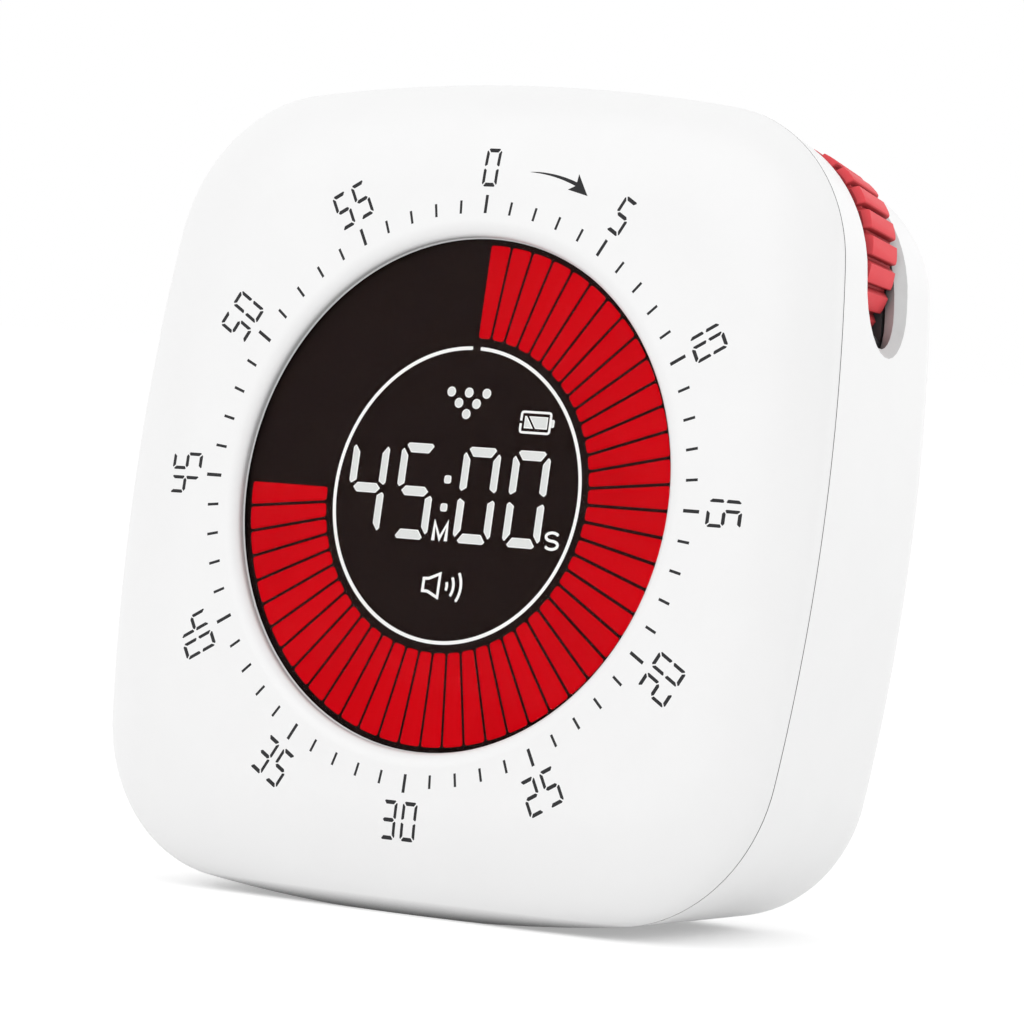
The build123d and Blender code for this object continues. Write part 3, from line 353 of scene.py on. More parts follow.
rings.append(dial_circle(POCKET_RADIUS, SHELL_WALL))
rings.append(dial_circle(POCKET_RADIUS, POCKET_DEPTH))
bosses = [boss(x, y, *CASE_BOSS) for x, y in CASE_SCREW_PLACES]
for angle in (EAR_ANGLE, 180 - EAR_ANGLE, 180 + EAR_ANGLE, -EAR_ANGLE):
    bosses.append(boss(EAR_CIRCLE * cos(radians(angle)), EAR_CIRCLE * sin(radians(angle)), *EAR_BOSS))
cover = case_smoothed(joined(loft(rings, closed=True), *bosses))
piece("front_shell", cover, "case", "white_plastic", white_abs, "front_cover")

# ---------------------------------------------------------------- printing on the face
# The minute marks, the numbers and the arrow are pad-printed on the face in dark grey ink. The
# ink follows the face, and stands on it by a few thousandths of a millimetre.

INK_LIFT = 0.003
INK_SINK = 0.05
TICK_START = 28.25
TICK_END = 29.6
TICK_WIDTH = 0.28
LONG_TICK_END = 30.1
LONG_TICK_WIDTH = 0.35
TICKS_PER_NUMBER = 5
MINUTES = 60
NUMBER_CIRCLE = 32.9  # middles of the numbers
NUMBER_SIZE = (1.8, 3.92, 0.34, 0.40, 0.15)  # width, height, upright bar, flat bar and gap
NUMBER_PITCH = 2.44
ARROW_TAIL = (4.70, 32.58)
ARROW_BEND = (7.59, 32.59)
ARROW_NECK = (10.48, 31.52)
ARROW_NECK_WIDTH = 0.40
ARROW_HEAD = ((10.64, 32.55), (12.03, 30.37), (9.58, 30.94))
ARROW_SWELL = 0.7  # below 1, it widens faster near its tail
ARROW_STEPS = 16
FOLLOWING_CUTS = 4  # of each edge of the ink, so that it follows the face
LIT_BARS = {"0": "abcdef", "1": "bc", "2": "abged", "3": "abgcd", "4": "fgbc", "5": "afgcd"}


def face_depth(x, y):
    """Depth of the front cover's surface under a point of the dial."""
    inset, out = case_edge(x, y)
    along = max(0.0, 1 - inset / ROLL_WIDTH)
    return SEAM_DEPTH * (1 - sqrt(1 - along**2))


def prisms(outlines, front, back, ground=None):
    """Flat outlines given a thickness; front and back are depths, below ground(x, y) if given."""
    shape = bmesh.new()
    for points in outlines:
        rows = [[shape.verts.new((x, y, -depth)) for x, y in points] for depth in (front, back)]
        shape.faces.new(rows[0])
        shape.faces.new(rows[1])
        for step in range(len(points)):
            shape.faces.new((rows[0][step - 1], rows[0][step], rows[1][step], rows[1][step - 1]))
    bmesh.ops.recalc_face_normals(shape, faces=shape.faces)
    if ground:
        bmesh.ops.triangulate(shape, faces=shape.faces)
        bmesh.ops.subdivide_edges(shape, edges=shape.edges, cuts=FOLLOWING_CUTS, use_grid_fill=True)
        for corner in shape.verts:
            corner.co.z -= ground(corner.co.x, corner.co.y)
    return as_mesh(shape)


def bar_outlines(width, height, wide, tall, gap):
    """The seven bars of a figure, by letter, with their ends cut on the slant."""
    half, top = width / 2, height / 2
    mitre = gap / sqrt(2)
    nick = 0.26 * tall  # of the blunt end of a bar
    foot = 0.8 * gap  # of an upright, above the middle
    tip, edge, inner = half - mitre - nick, half - mitre - 2 * nick, half - mitre - wide
    flat = [(-edge, top), (edge, top), (tip, top - nick)]
    flat += [(inner, top - tall), (-inner, top - tall), (-tip, top - nick)]
    upright = [(-half, top - mitre - 2 * nick), (-half + nick, top - mitre - nick)]
    upright += [(-half + wide, top - mitre - tall), (-half + wide, (tall + gap) / 2)]
    upright += [(-half + nick, foot), (-half, foot + nick)]
    run, rise = tip - tall / 2, tall / 2
    middle = [(-tip, 0), (-run, rise), (run, rise), (tip, 0), (run, -rise), (-run, -rise)]
    bars = {"a": flat, "f": upright, "g": middle}
    bars["b"] = [(-x, y) for x, y in upright]
    bars["c"] = [(-x, -y) for x, y in upright]
    bars["d"] = [(x, -y) for x, y in flat]
    bars["e"] = [(x, -y) for x, y in upright]
    return bars


def figures(text, size, pitch):
    """The bars of a number, centred on its ink."""
    bars = bar_outlines(*size)
    outlines = []
    for place, digit in enumerate(text):
        for letter in LIT_BARS[digit]:
            outlines.append([(x + place * pitch, y) for x, y in bars[letter]])
    ends = [x for points in outlines for x, y in points]
    middle = (min(ends) + max(ends)) / 2
    return [[(x - middle, y) for x, y in points] for points in outlines]


def placed(points, x, y, angle=0.0):
    """A flat outline turned by an angle in degrees, then moved."""
    run, rise = cos(radians(angle)), sin(radians(angle))
    return [(x + px * run - py * rise, y + px * rise + py * run) for px, py in points]


def box_outline(width, height):
    """A rectangle round its middle."""
    x, y = width / 2, height / 2
    return [(-x, -y), (x, -y), (x, y), (-x, y)]


def on_dial(radius, minute):
    """The place at a minute of the dial, and the turn that what stands there takes."""
    turn = -360 / MINUTES * minute
    return -radius * sin(radians(turn)), radius * cos(radians(turn)), turn


def curve(start, bend, end, share):
    """A point on the curve that leaves a start towards a bend and arrives from it at an end."""
    return start * (1 - share) ** 2 + bend * 2 * share * (1 - share) + end * share**2


def new_tree(name, **sockets):
    """A Geometry Nodes tree with named inputs and a material; returns it and its inputs."""
    tree = bpy.data.node_groups.new(name, "GeometryNodeTree")
    tree.interface.new_socket("Geometry", in_out="INPUT", socket_type="NodeSocketGeometry")
    tree.interface.new_socket("Geometry", in_out="OUTPUT", socket_type="NodeSocketGeometry")
    for label, kind in {**sockets, "Material": "Material"}.items():
        tree.interface.new_socket(label, in_out="INPUT", socket_type="NodeSocket" + kind)
    return tree, add(tree, "NodeGroupInput").outputs


def end_tree(tree, geometry, given):
    """Ends a Geometry Nodes tree with what it has made, in the material it is given."""
    coloured = {"Geometry": geometry, "Material": given["Material"]}
    add(tree, "NodeGroupOutput", {0: add(tree, "GeometryNodeSetMaterial", coloured)})


def evaluated(thing):
    """What an object's modifiers make, as a plain mesh; the object itself goes."""
    bpy.context.scene.collection.objects.link(thing)
    graph = bpy.context.evaluated_depsgraph_get()
    mesh = bpy.data.meshes.new_from_object(thing.evaluated_get(graph))
    bpy.data.objects.remove(thing)
    return mesh


def grown(tree, mesh, **inputs):
    """Runs a Geometry Nodes tree on a mesh, with its named inputs set."""
    thing = bpy.data.objects.new("grown", mesh)
    modifier = thing.modifiers.new("grown", "NODES")
    modifier.node_group = tree
    for socket in tree.interface.items_tree:
        if socket.in_out == "INPUT" and socket.name in inputs:
            modifier[socket.identifier] = inputs[socket.name]
    return evaluated(thing)


# Copies of a piece turned round the Z axis, step by step, and merged where they meet.
tree, given = new_tree("copies round an axis", Count="Int", Step="Float", Merge="Float")
points = add(tree, "GeometryNodePoints", {"Count": given["Count"]})
inputs = {"Points": points, "Instance": given["Geometry"]}
copies = add(tree, "GeometryNodeInstanceOnPoints", inputs)
index = add(tree, "GeometryNodeInputIndex")
angle = add(tree, "ShaderNodeMath", {0: index, 1: given["Step"]}, operation="MULTIPLY")
euler = add(tree, "ShaderNodeCombineXYZ", {"Z": angle})
rotation = add(tree, "FunctionNodeEulerToRotation", {"Euler": euler})
spread = add(tree, "GeometryNodeRotateInstances", {"Instances": copies, "Rotation": rotation})
solid = add(tree, "GeometryNodeRealizeInstances", {"Geometry": spread})
merged = add(tree, "GeometryNodeMergeByDistance", {"Geometry": solid, "Distance": given["Merge"]})
end_tree(tree, merged, given)
round_copies = tree

# Pad-printing ink: dark, slightly uneven grey with a dull surface.
grey_ink = finish(
    "pad_printed_grey_ink", "#2C2C2E", "#262628", 0.15, (0.5, 0.6), **{"Specular IOR Level": 0.2}
)

long_tick = box_outline(LONG_TICK_WIDTH, LONG_TICK_END - TICK_START)
marks = [placed(long_tick, 0, (LONG_TICK_END + TICK_START) / 2)]
tick = box_outline(TICK_WIDTH, TICK_END - TICK_START)
for minute in range(1, TICKS_PER_NUMBER):
    marks.append(placed(tick, *on_dial((TICK_START + TICK_END) / 2, minute)))
marks = prisms(marks, -INK_LIFT, INK_SINK)
step = -2 * pi * TICKS_PER_NUMBER / MINUTES
ticks = grown(round_copies, marks, Count=MINUTES // TICKS_PER_NUMBER, Step=step, Material=grey_ink)
piece("minute_marks", ticks, "case", "grey_plastic", grey_ink)

numbers = []
for number in range(0, MINUTES, TICKS_PER_NUMBER):
    x, y, turn = on_dial(NUMBER_CIRCLE, number)
    upside = 180 if MINUTES / 4 < number < MINUTES * 3 / 4 else 0
    for points in figures(str(number), NUMBER_SIZE, NUMBER_PITCH):
        numbers.append(placed(points, x, y, turn + upside))
numbers = prisms(numbers, -INK_LIFT, INK_SINK, face_depth)
piece("dial_numbers", numbers, "case", "grey_plastic", grey_ink)

upper, lower = [], []
tail, bend, neck = (Vector(point) for point in (ARROW_TAIL, ARROW_BEND, ARROW_NECK))
for step in range(1, ARROW_STEPS + 1):
    share = step / ARROW_STEPS
    middle = curve(tail, bend, neck, share)
    along = ((bend - tail) * (1 - share) + (neck - bend) * share).normalized()
    half = Vector((-along.y, along.x)) * ARROW_NECK_WIDTH / 2 * share**ARROW_SWELL
    upper.append(tuple(middle + half))
    lower.append(tuple(middle - half))
arrow = [ARROW_TAIL, *upper, *ARROW_HEAD, *reversed(lower)]
arrow = prisms([arrow], -INK_LIFT, INK_SINK, face_depth)
piece("turning_arrow", arrow, "case", "grey_plastic", grey_ink)

# ---------------------------------------------------------------- window
# A disc of clear cast acrylic with eased edges, taped behind the opening. The tape is a ring of
# black double-sided foam that the front cover hides.

WINDOW_RADIUS = 28.5
WINDOW_FRONT = 1.5
WINDOW_BACK = 1.8
EASED_EDGE = 0.1
DISC_STEPS = 128
ACRYLIC_INDEX = 1.49  # how strongly it bends light
WINDOW_MIRROR = 0.02  # share of a bare surface's mirroring that the coat lets through
WINDOW_HAZE = 0.02  # its greatest roughness
HAZE_PATCHES = 400.0  # to the metre


def dress(material, *names):
    """Gives CAD nodes a better finish and leaves their shape alone."""
    for name in names:
        node = frame["nodes"][name]
        if not node.material_slots:
            node.data.materials.append(material)
        for place in node.material_slots:
            place.material = material


# Cast acrylic with an anti-glare coat: light bends through it and only a trace is mirrored, so
# the dark display behind it stays dark.
clear_acrylic = bpy.data.materials.new("cast_clear_acrylic")
tree = empty_tree(clear_acrylic)
haze = {"Value": noise(tree, HAZE_PATCHES, 1.0), "To Min": 0.0, "To Max": WINDOW_HAZE}
surface = {"Roughness": add(tree, "ShaderNodeMapRange", haze), "IOR": ACRYLIC_INDEX}
coated = add(tree, "ShaderNodeBsdfRefraction", surface)
bare = add(tree, "ShaderNodeBsdfPrincipled", {**surface, "Transmission Weight": 1.0})
mixed = add(tree, "ShaderNodeMixShader", {0: WINDOW_MIRROR, 1: coated, 2: bare})
add(tree, "ShaderNodeOutputMaterial", {"Surface": mixed})
window = turned(
    [
        (WINDOW_RADIUS - EASED_EDGE, WINDOW_FRONT),
        (WINDOW_RADIUS, WINDOW_FRONT + EASED_EDGE),
        (WINDOW_RADIUS, WINDOW_BACK - EASED_EDGE),
        (WINDOW_RADIUS - EASED_EDGE, WINDOW_BACK),
    ],
    steps=DISC_STEPS,
)
piece("window_disc", smoothed(window), "case", "clear_acrylic", clear_acrylic, "display_window")

# Black foam tape: matt, with open cells that swallow the light.
dress(finish("black_foam_tape", "#1C1C1C", "#121212", 0.2, (0.8, 0.95), 0.03), "window_tape")

# ---------------------------------------------------------------- display cell
# A liquid crystal cell: two glasses with the figures etched between them, a polariser in front
# and colour and diffuser films behind. Where it is lit, its ring is red and its figures white.

CELL_FILM_RADIUS = 26.6
CELL_FILM_FRONT = 1.9
CELL_FILM_BACK = 2.5
LIT_FRONT = 1.84  # the lit shapes stand just in front of the film
LIT_BACK = 1.91
FILL_MARGIN = 0.09  # the figures are a little darker inside a bright edge
FILL_LIFT = 0.015
SECTOR_COUNT = 45
SECTOR_INNER = 15.9
SECTOR_OUTER = 25.3
SECTOR_GAP = 0.33
SECTOR_ROUNDING = (0.35, 0.3)  # of its inner and outer corners
RING_RADIUS = 14.85
RING_WIDTH = 0.35
RING_BREAK = (-0.41, 0.58)  # the gap at the top, from left to right
RING_STEPS = 160
TIME_SIZE = (4.48, 9.70, 0.82, 0.97, 0.48)
TIME_PITCH = 6.0
TIME_HEIGHT = 0.10  # of the middle of the figures
TIME_PLACES = (("45", -8.04), ("00", 5.62))
COLON_SIZE = 0.81
COLON_PLACES = ((-1.20, 1.51), (-1.20, -1.32))
MINUTE_STROKE = 0.37
SECOND_STROKE = 0.28
MINUTE_UNIT = (-1.22, -3.77, 1.92, 1.82)  # middle, width and height of the unit letters
SECOND_UNIT = (12.31, -3.81, 1.78, 1.92)
MINUTE_VALLEY = 0.75  # how far the middle of the M reaches down
SECOND_SWEEP = (25, 270)  # angles between which the upper bowl of the S runs
SECOND_STEPS = 14
DOT_RADIUS = 0.50
DOT_PITCH = 2.15
DOT_ROWS = ((10.36, 3), (9.27, 2), (8.19, 1))
DOT_MIDDLE = -0.08
DOT_STEPS = 24
BATTERY_MIDDLE = (8.42, 7.78)
BATTERY_SIZE = (3.52, 2.06)
BATTERY_STROKE = 0.23
BATTERY_CORNER = 0.3
BATTERY_BREAK = 0.14
BATTERY_CHARGE = (
    ((7.10, 8.39), (7.28, 8.39), (8.17, 7.17), (7.10, 7.17)),
    ((7.58, 8.39), (9.84, 8.39), (9.84, 7.17), (8.47, 7.17))
)
BATTERY_NUB = (10.50, 7.78, 0.32, 0.78)
BATTERY_NUB_CORNERS = (0.02, 0.15, 0.15, 0.02)
HORN = ((-2.38, -8.55), (-1.79, -8.52), (-0.48, -7.97), (-0.48, -10.36), (-1.79, -9.80), (-2.38, -9.80))
HORN_STROKE = 0.29
SOUND_MIDDLE = (-0.49, -9.17)
SOUND_ARCS = ((1.0, 24), (1.8, 31), (2.7, 32))  # radius and half angle
SOUND_STROKE = 0.28
SOUND_STEPS = 10
ROUND_STEPS = 6
LAMP_PATCHES = 90.0  # to the metre, where the light is brighter
GLASS_INDEX = 1.52  # how strongly it bends light
UNMIRRORED = {"Specular IOR Level": 0.0}  # a film that mirrors nothing


def rounded(points, radii):
    """A flat outline with its corners rounded."""
    smooth = []
    for place, radius in enumerate(radii):
        corner = Vector(points[place])
        before = (Vector(points[place - 1]) - corner).normalized()
        after = (Vector(points[(place + 1) % len(points)]) - corner).normalized()
        reach = radius / tan(before.angle(after) / 2)
        start, end = corner + before * reach, corner + after * reach
        for step in range(ROUND_STEPS + 1):
            smooth.append(tuple(curve(start, corner, end, step / ROUND_STEPS)))
    return smooth


def arc(x, y, radius, start, end, steps, squash=1.0):
    """Points along an arc between two angles in degrees."""
    turns = [radians(start + (end - start) * step / steps) for step in range(steps + 1)]
    return [(x + radius * squash * cos(turn), y + radius * sin(turn)) for turn in turns]


def ribbon(path, width, front, back, closed=False):
    """A flat line of even width along a path, given a thickness."""
    sharpest = 0.6  # cosine at which a bend stops getting wider
    count = len(path)
    points = [Vector(point) for point in path]
    rings = []
    for place, point in enumerate(points):
        before = points[place - 1] if closed or place else point
        after = points[(place + 1) % count] if closed or place < count - 1 else point
        leaving = (after - point).normalized()
        arriving = (point - before).normalized() if before is not point else leaving
        if after is point:
            leaving = arriving
        along = (arriving + leaving).normalized()
        half = width / 2 / max(sharpest, along.dot(arriving))
        side = Vector((-along.y, along.x)) * half
        left, right = point + side, point - side
        rings.append([(*left, -front), (*right, -front), (*right, -back), (*left, -back)])
    return loft(rings, closed)


def shrunk(points, margin):
    """A convex flat outline moved inwards by a margin."""
    sharpest = 0.3  # sine at which a corner stops moving further
    centre = sum((Vector(point) for point in points), Vector((0, 0))) / len(points)
    inside = []
    for place, point in enumerate(points):
        corner = Vector(point)
        before = (corner - Vector(points[place - 1])).normalized()
        after = (Vector(points[(place + 1) % len(points)]) - corner).normalized()
        side = Vector((-before.y - after.y, before.x + after.x)).normalized()
        if side.dot(centre - corner) < 0:
            side = -side
        lean = max(sharpest, abs(side.x * before.y - side.y * before.x))
        inside.append(tuple(corner + side * margin / lean))
    return inside


# Black of the unlit cell: deep warm black under a smooth film.
display_black = finish("unlit_display_film", "#231917", "#221817", 0.3, (0.4, 0.5), **UNMIRRORED)
cell_film = turned(
    [(CELL_FILM_RADIUS, CELL_FILM_FRONT), (CELL_FILM_RADIUS, CELL_FILM_BACK)], steps=DISC_STEPS
)
piece("display_film", smoothed(cell_film), "case", "film", display_black, "front_polariser")


def lit(name, colour, shade):
    """A part of the display lit from behind, a little uneven as a light guide leaves it."""
    material = finish(name, "#050505", "#040404", 0.3, (0.4, 0.5), **UNMIRRORED)
    tree = material.node_tree
    glow = drifting(tree, LAMP_PATCHES, (shade, colour), (0.3, 0.6))
    surface = tree.nodes["Principled BSDF"]
    tree.links.new(glow.outputs[0], surface.inputs["Emission Color"])
    surface.inputs["Emission Strength"].default_value = 1.0
    return material


# Light through the red film: saturated and flat, a touch darker between the lamps.
red_light = lit("red_lit_film", "#CB0410", "#C2030E")
half_turn = radians(180 / MINUTES)
edges = [half_turn - asin(SECTOR_GAP / 2 / radius) for radius in (SECTOR_INNER, SECTOR_OUTER)]
inner_turn, outer_turn = edges
corners = [
    (SECTOR_INNER * sin(-inner_turn), SECTOR_INNER * cos(inner_turn)),
    (SECTOR_INNER * sin(inner_turn), SECTOR_INNER * cos(inner_turn)),
    (SECTOR_OUTER * sin(outer_turn), SECTOR_OUTER * cos(outer_turn)), (0, SECTOR_OUTER),
    (SECTOR_OUTER * sin(-outer_turn), SECTOR_OUTER * cos(outer_turn))
]
inner_round, outer_round = SECTOR_ROUNDING
sector = rounded(corners, (inner_round, inner_round, outer_round, 0.0, outer_round))
sector = placed(sector, 0, 0, -degrees(half_turn))
sectors = grown(
    round_copies, prisms([sector], LIT_FRONT, LIT_BACK), Count=SECTOR_COUNT, Step=-2 * pi / MINUTES,
    Material=red_light
)
piece("lit_sectors", sectors, "case", "display_glass", red_light)

# Light through the bare figures: a soft white.
white_light = lit("white_lit_figures", "#FBFBF9", "#F4F4F2")
flat = []
for text, middle in TIME_PLACES:
    flat += [placed(points, middle, TIME_HEIGHT) for points in figures(text, TIME_SIZE, TIME_PITCH)]
soft_square = rounded(box_outline(COLON_SIZE, COLON_SIZE), [COLON_SIZE / 3] * 4)
flat += [placed(soft_square, x, y) for x, y in COLON_PLACES]
for y, count in DOT_ROWS:
    for place in range(count):
        x = DOT_MIDDLE + (place - (count - 1) / 2) * DOT_PITCH
        flat.append(arc(x, y, DOT_RADIUS, 0, 360, DOT_STEPS)[:-1])
flat += [list(points) for points in BATTERY_CHARGE]
nub_x, nub_y, nub_width, nub_height = BATTERY_NUB
nub = rounded(box_outline(nub_width, nub_height), BATTERY_NUB_CORNERS)
flat.append(placed(nub, nub_x, nub_y))

lines = []
ring_start = 90 - degrees(asin(RING_BREAK[1] / RING_RADIUS))
ring_end = 90 - degrees(asin(RING_BREAK[0] / RING_RADIUS)) - 360
lines.append((arc(0, 0, RING_RADIUS, ring_start, ring_end, RING_STEPS), RING_WIDTH, False))
width, height = BATTERY_SIZE
frame_line = rounded(box_outline(width, height), [BATTERY_CORNER] * 4)
broken = [(-width / 2, -BATTERY_BREAK), *frame_line, (-width / 2, BATTERY_BREAK)]
lines.append((placed(broken, *BATTERY_MIDDLE), BATTERY_STROKE, False))
lines.append((HORN, HORN_STROKE, True))
for radius, half in SOUND_ARCS:
    lines.append((arc(*SOUND_MIDDLE, radius, -half, half, SOUND_STEPS), SOUND_STROKE, False))
x, y, width, height = MINUTE_UNIT
edge, foot = (width - MINUTE_STROKE) / 2, height / 2
valley = (0, -MINUTE_VALLEY * foot)
minute_line = [(-edge, -foot), (-edge, foot), valley, (edge, foot), (edge, -foot)]
lines.append((placed(minute_line, x, y), MINUTE_STROKE, False))
x, y, width, height = SECOND_UNIT
bowl = (height - SECOND_STROKE) / 4
squash = (width - SECOND_STROKE) / 2 / bowl
start, end = SECOND_SWEEP
upper = arc(0, bowl, bowl, start, end, SECOND_STEPS, squash)
lower = arc(0, -bowl, bowl, end - 180, start - 180, SECOND_STEPS, squash)
lines.append((placed(upper + lower[1:], x, y), SECOND_STROKE, False))
strokes = [ribbon(path, width, LIT_FRONT, LIT_BACK, closed) for path, width, closed in lines]
figures_mesh = joined(prisms(flat, LIT_FRONT, LIT_BACK), *strokes)
piece("lit_figures", figures_mesh, "case", "display_glass", white_light)
# Inside their bright edge the figures are slightly greyer.
grey_light = lit("grey_lit_figures", "#E1E3E1", "#DADCDA")
inside = [shrunk(points, FILL_MARGIN) for points in flat]
fill = prisms(inside, LIT_FRONT - FILL_LIFT, LIT_BACK)
piece("lit_figure_fill", fill, "case", "display_glass", grey_light)

# Float glass, seen only at its green edge.
float_glass = finish(
    "float_glass", "#DFEAE4", "#D8E5DE", 2.0, (0.02, 0.05), IOR=GLASS_INDEX,
    **{"Transmission Weight": 0.9}
)
dress(float_glass, "front_glass", "rear_glass")
# Printed colour film: red ink on polyester.
dress(finish("red_printed_film", "#C8101A", "#B80E18", 0.5, (0.3, 0.4)), "colour_film")
# Milky polyester that scatters the light.
milky_film = finish("milky_diffuser_film", "#F4F4F0", "#ECECE8", 0.2, (0.6, 0.75))
dress(milky_film, "diffuser_film", "reflector_film")
# Clear moulded light guide with a faint dot texture.
light_plate = finish(
    "clear_light_guide", "#F2F6F6", "#EAF0F0", 0.8, (0.05, 0.15), 0.01, IOR=ACRYLIC_INDEX,
    **{"Transmission Weight": 0.8}
)
dress(light_plate, "light_guide")
# White lamp bodies under clear resin.
dress(finish("lamp_resin", "#F3EFD2", "#E8E0B4", 0.3, (0.15, 0.25)), "backlight_leds")
# Carbon-loaded rubber in fine layers, dull and dark.
dress(finish("layered_contact_rubber", "#2B2B2D", "#1B1B1D", 0.1, (0.7, 0.85), 0.01), "contact_strip")

# ---------------------------------------------------------------- display frame and main board
# A black moulded tray clamps the display against the window. Behind it lies a green glass-fibre
# board with its controller, crystal, capacitor and resistors, held by four small screws.

# Black ABS with a fine spark-eroded grain.
black_abs = finish("moulded_black_abs", "#232325", "#1A1A1C", 0.25, (0.45, 0.6), 0.01, IOR=ABS_INDEX)
dress(black_abs, "display_frame")
# Solder resist over glass weave: glossy green with slight drifts of tone.
solder_mask = finish("green_solder_mask", "#1F6B45", "#17573A", 0.4, (0.2, 0.3), 0.004)
dress(solder_mask, "main_board")
# Zinc-plated steel: bright, slightly clouded.
zinc_steel = finish("zinc_plated_steel", "#C9CDD2", "#B4B9C0", 0.3, (0.25, 0.4), 0.002, Metallic=1.0)
dress(zinc_steel, "board_screws", "carrier_screws")
# Chip package: matt epoxy with a sandy grain.
dress(finish("black_epoxy", "#2A2A2B", "#202021", 0.12, (0.6, 0.75), 0.005), "controller_chip")
# Tinned leads: soft silver.
tinned = finish("tinned_copper", "#D2D4D6", "#BFC2C6", 0.2, (0.25, 0.35), Metallic=1.0)
dress(tinned, "chip_leads", "quartz_crystal")
# Shrunk sleeve of the capacitor: dark blue vinyl.
dress(finish("blue_vinyl_sleeve", "#24345E", "#1C2A50", 0.5, (0.25, 0.35)), "electrolytic_capacitor")
# Resistor bodies: black glaze on ceramic.
dress(finish("glazed_resistor", "#262628", "#39393A", 0.4, (0.2, 0.3)), "chip_resistors")

# ---------------------------------------------------------------- rear cover
# The tapered back of the case is the same white ABS, drawn off its core with 8 degrees of draft.
# Moulded into it are the wheel slot, the battery bay, the sounder's slots and the screw wells.

TAPER_STEPS = 10
EDGE_STEPS = 10
CORE_EDGE_RADIUS = 3.2
BACK_WALL = 27.2
SLOT_DEPTH = 14.4  # middle of the wheel slot
SLOT_ROOT = 27.4  # how far out along the diagonal the slot starts
SLOT_HALF_WIDTH = 3.6
SLOT_HALF_LENGTH = 14.0
SLOT_STEPS = 14
SLOT_BEVEL = (1.6, 1.0)  # width over the surface and depth into the slot
POST_RADIUS = 3.7
POST_START = 14.0
SHANK_WELL = 1.55
HEAD_WELL = 2.7
HEAD_SEAT = 16.0
BAY_CENTRE = -12.0
BAY_SIZE = (50.1, 21.9)
BAY_FLOOR = 15.9
BAY_WALL = 1.2
LID_SIZE = (53.7, 25.5)
LID_THICKNESS = 2.0
LID_GAP = 0.25
LID_CORNER = 2.5
LID_FRAME = (59.8, 29.2)
LID_FRAME_FRONT = 25.4
HINGE_PLACE = (-23.75, 28.0)  # height and depth
PIN_RADIUS = 0.6
PIN_LENGTH = 1.2
PIN_GAP = 0.05
NOTCH_RADIUS = 5.0
NOTCH_DEPTH = 0.9
SOUNDER_PLACE = (-21.0, 12.5)
GRILLE_RADIUS = 5.6
GRILLE_PITCH = 2.2
GRILLE_SLOT = 1.2
GRILLE_COUNT = 5
SWITCH_PLACE = (3.0, 28.0)
TRACK_SIZE = (9.6, 4.0)
TRACK_CORNER = 0.8
TRACK_DEPTH = 28.1
NECK_SLOT = (6.9, 2.9)
BEYOND = 32.0  # a depth well behind the back
OVERCUT = 1.0  # how far a cut starts before what it opens
OVERLAP = 0.1  # how far two parts of one moulding reach into each other
ROUND_END = 0.49  # corner radius of a slot with round ends, as a share of its width
SHARP = 0.01  # radius of a corner that stays sharp
MOUTH_TURN = 0.96  # cosine of how far the slot's mouth turns away from the case


def block(size, x, y, front, back, radius=0.0):
    """A rectangular block, or one with rounded corners, between two depths."""
    points = box_outline(*size)
    return prisms([placed(rounded(points, [radius] * 4) if radius else points, x, y)], front, back)


def combined(mesh, operation, *tools):
    """A boolean of a closed mesh with closed tools."""
    thing = bpy.data.objects.new("thing", mesh)
    cutter = bpy.data.objects.new("cutter", joined(*tools))
    bpy.context.scene.collection.objects.link(cutter)
    modifier = thing.modifiers.new("boolean", "BOOLEAN")
    modifier.operation = operation
    modifier.object = cutter
    modifier.solver = "EXACT"
    made = evaluated(thing)
    bpy.data.objects.remove(cutter)
    return made


def laid(mesh, x, y, depth, way):
    """A shape made along the depth, laid along the width: way is 1 or -1."""
    mesh.transform(Matrix.Translation((x, y, -depth)) @ Matrix.Rotation(way * pi / 2, 4, "Y"))
    return mesh


def shell_rings(inset, edge_radius, back, steps):
    """Rings down a side of the rear cover and round its back edge."""
    centre_depth = back - edge_radius
    centre_inset = inset + (centre_depth - SEAM_DEPTH) * TAPER + edge_radius / cos(radians(DRAFT))
    tangent = centre_depth + edge_radius * sin(radians(DRAFT))
    made = []
    for step in range(steps + 1):
        depth = SEAM_DEPTH + (tangent - SEAM_DEPTH) * step / steps
        made.append(outline(inset + (depth - SEAM_DEPTH) * TAPER, depth))
    for step in range(1, EDGE_STEPS + 1):
        angle = radians(DRAFT + (90 - DRAFT) * step / EDGE_STEPS)
        depth = centre_depth + edge_radius * sin(angle)
        made.append(outline(centre_inset - edge_radius * cos(angle), depth))
    return made


def slot_surface(along, depth):
    """How far out along the diagonal the case is, at a place along the slot and a depth."""
    inset = (depth - SEAM_DEPTH) * TAPER
    reach = CORNER_RADIUS - inset
    if abs(along) < reach * sin(radians(45 - joint_angle)):
        return corner_centre * sqrt(2) + sqrt(reach**2 - along**2)
    side = side_centre / sqrt(2)
    return sqrt((BOW_RADIUS - inset) ** 2 - (abs(along) + side) ** 2) - side


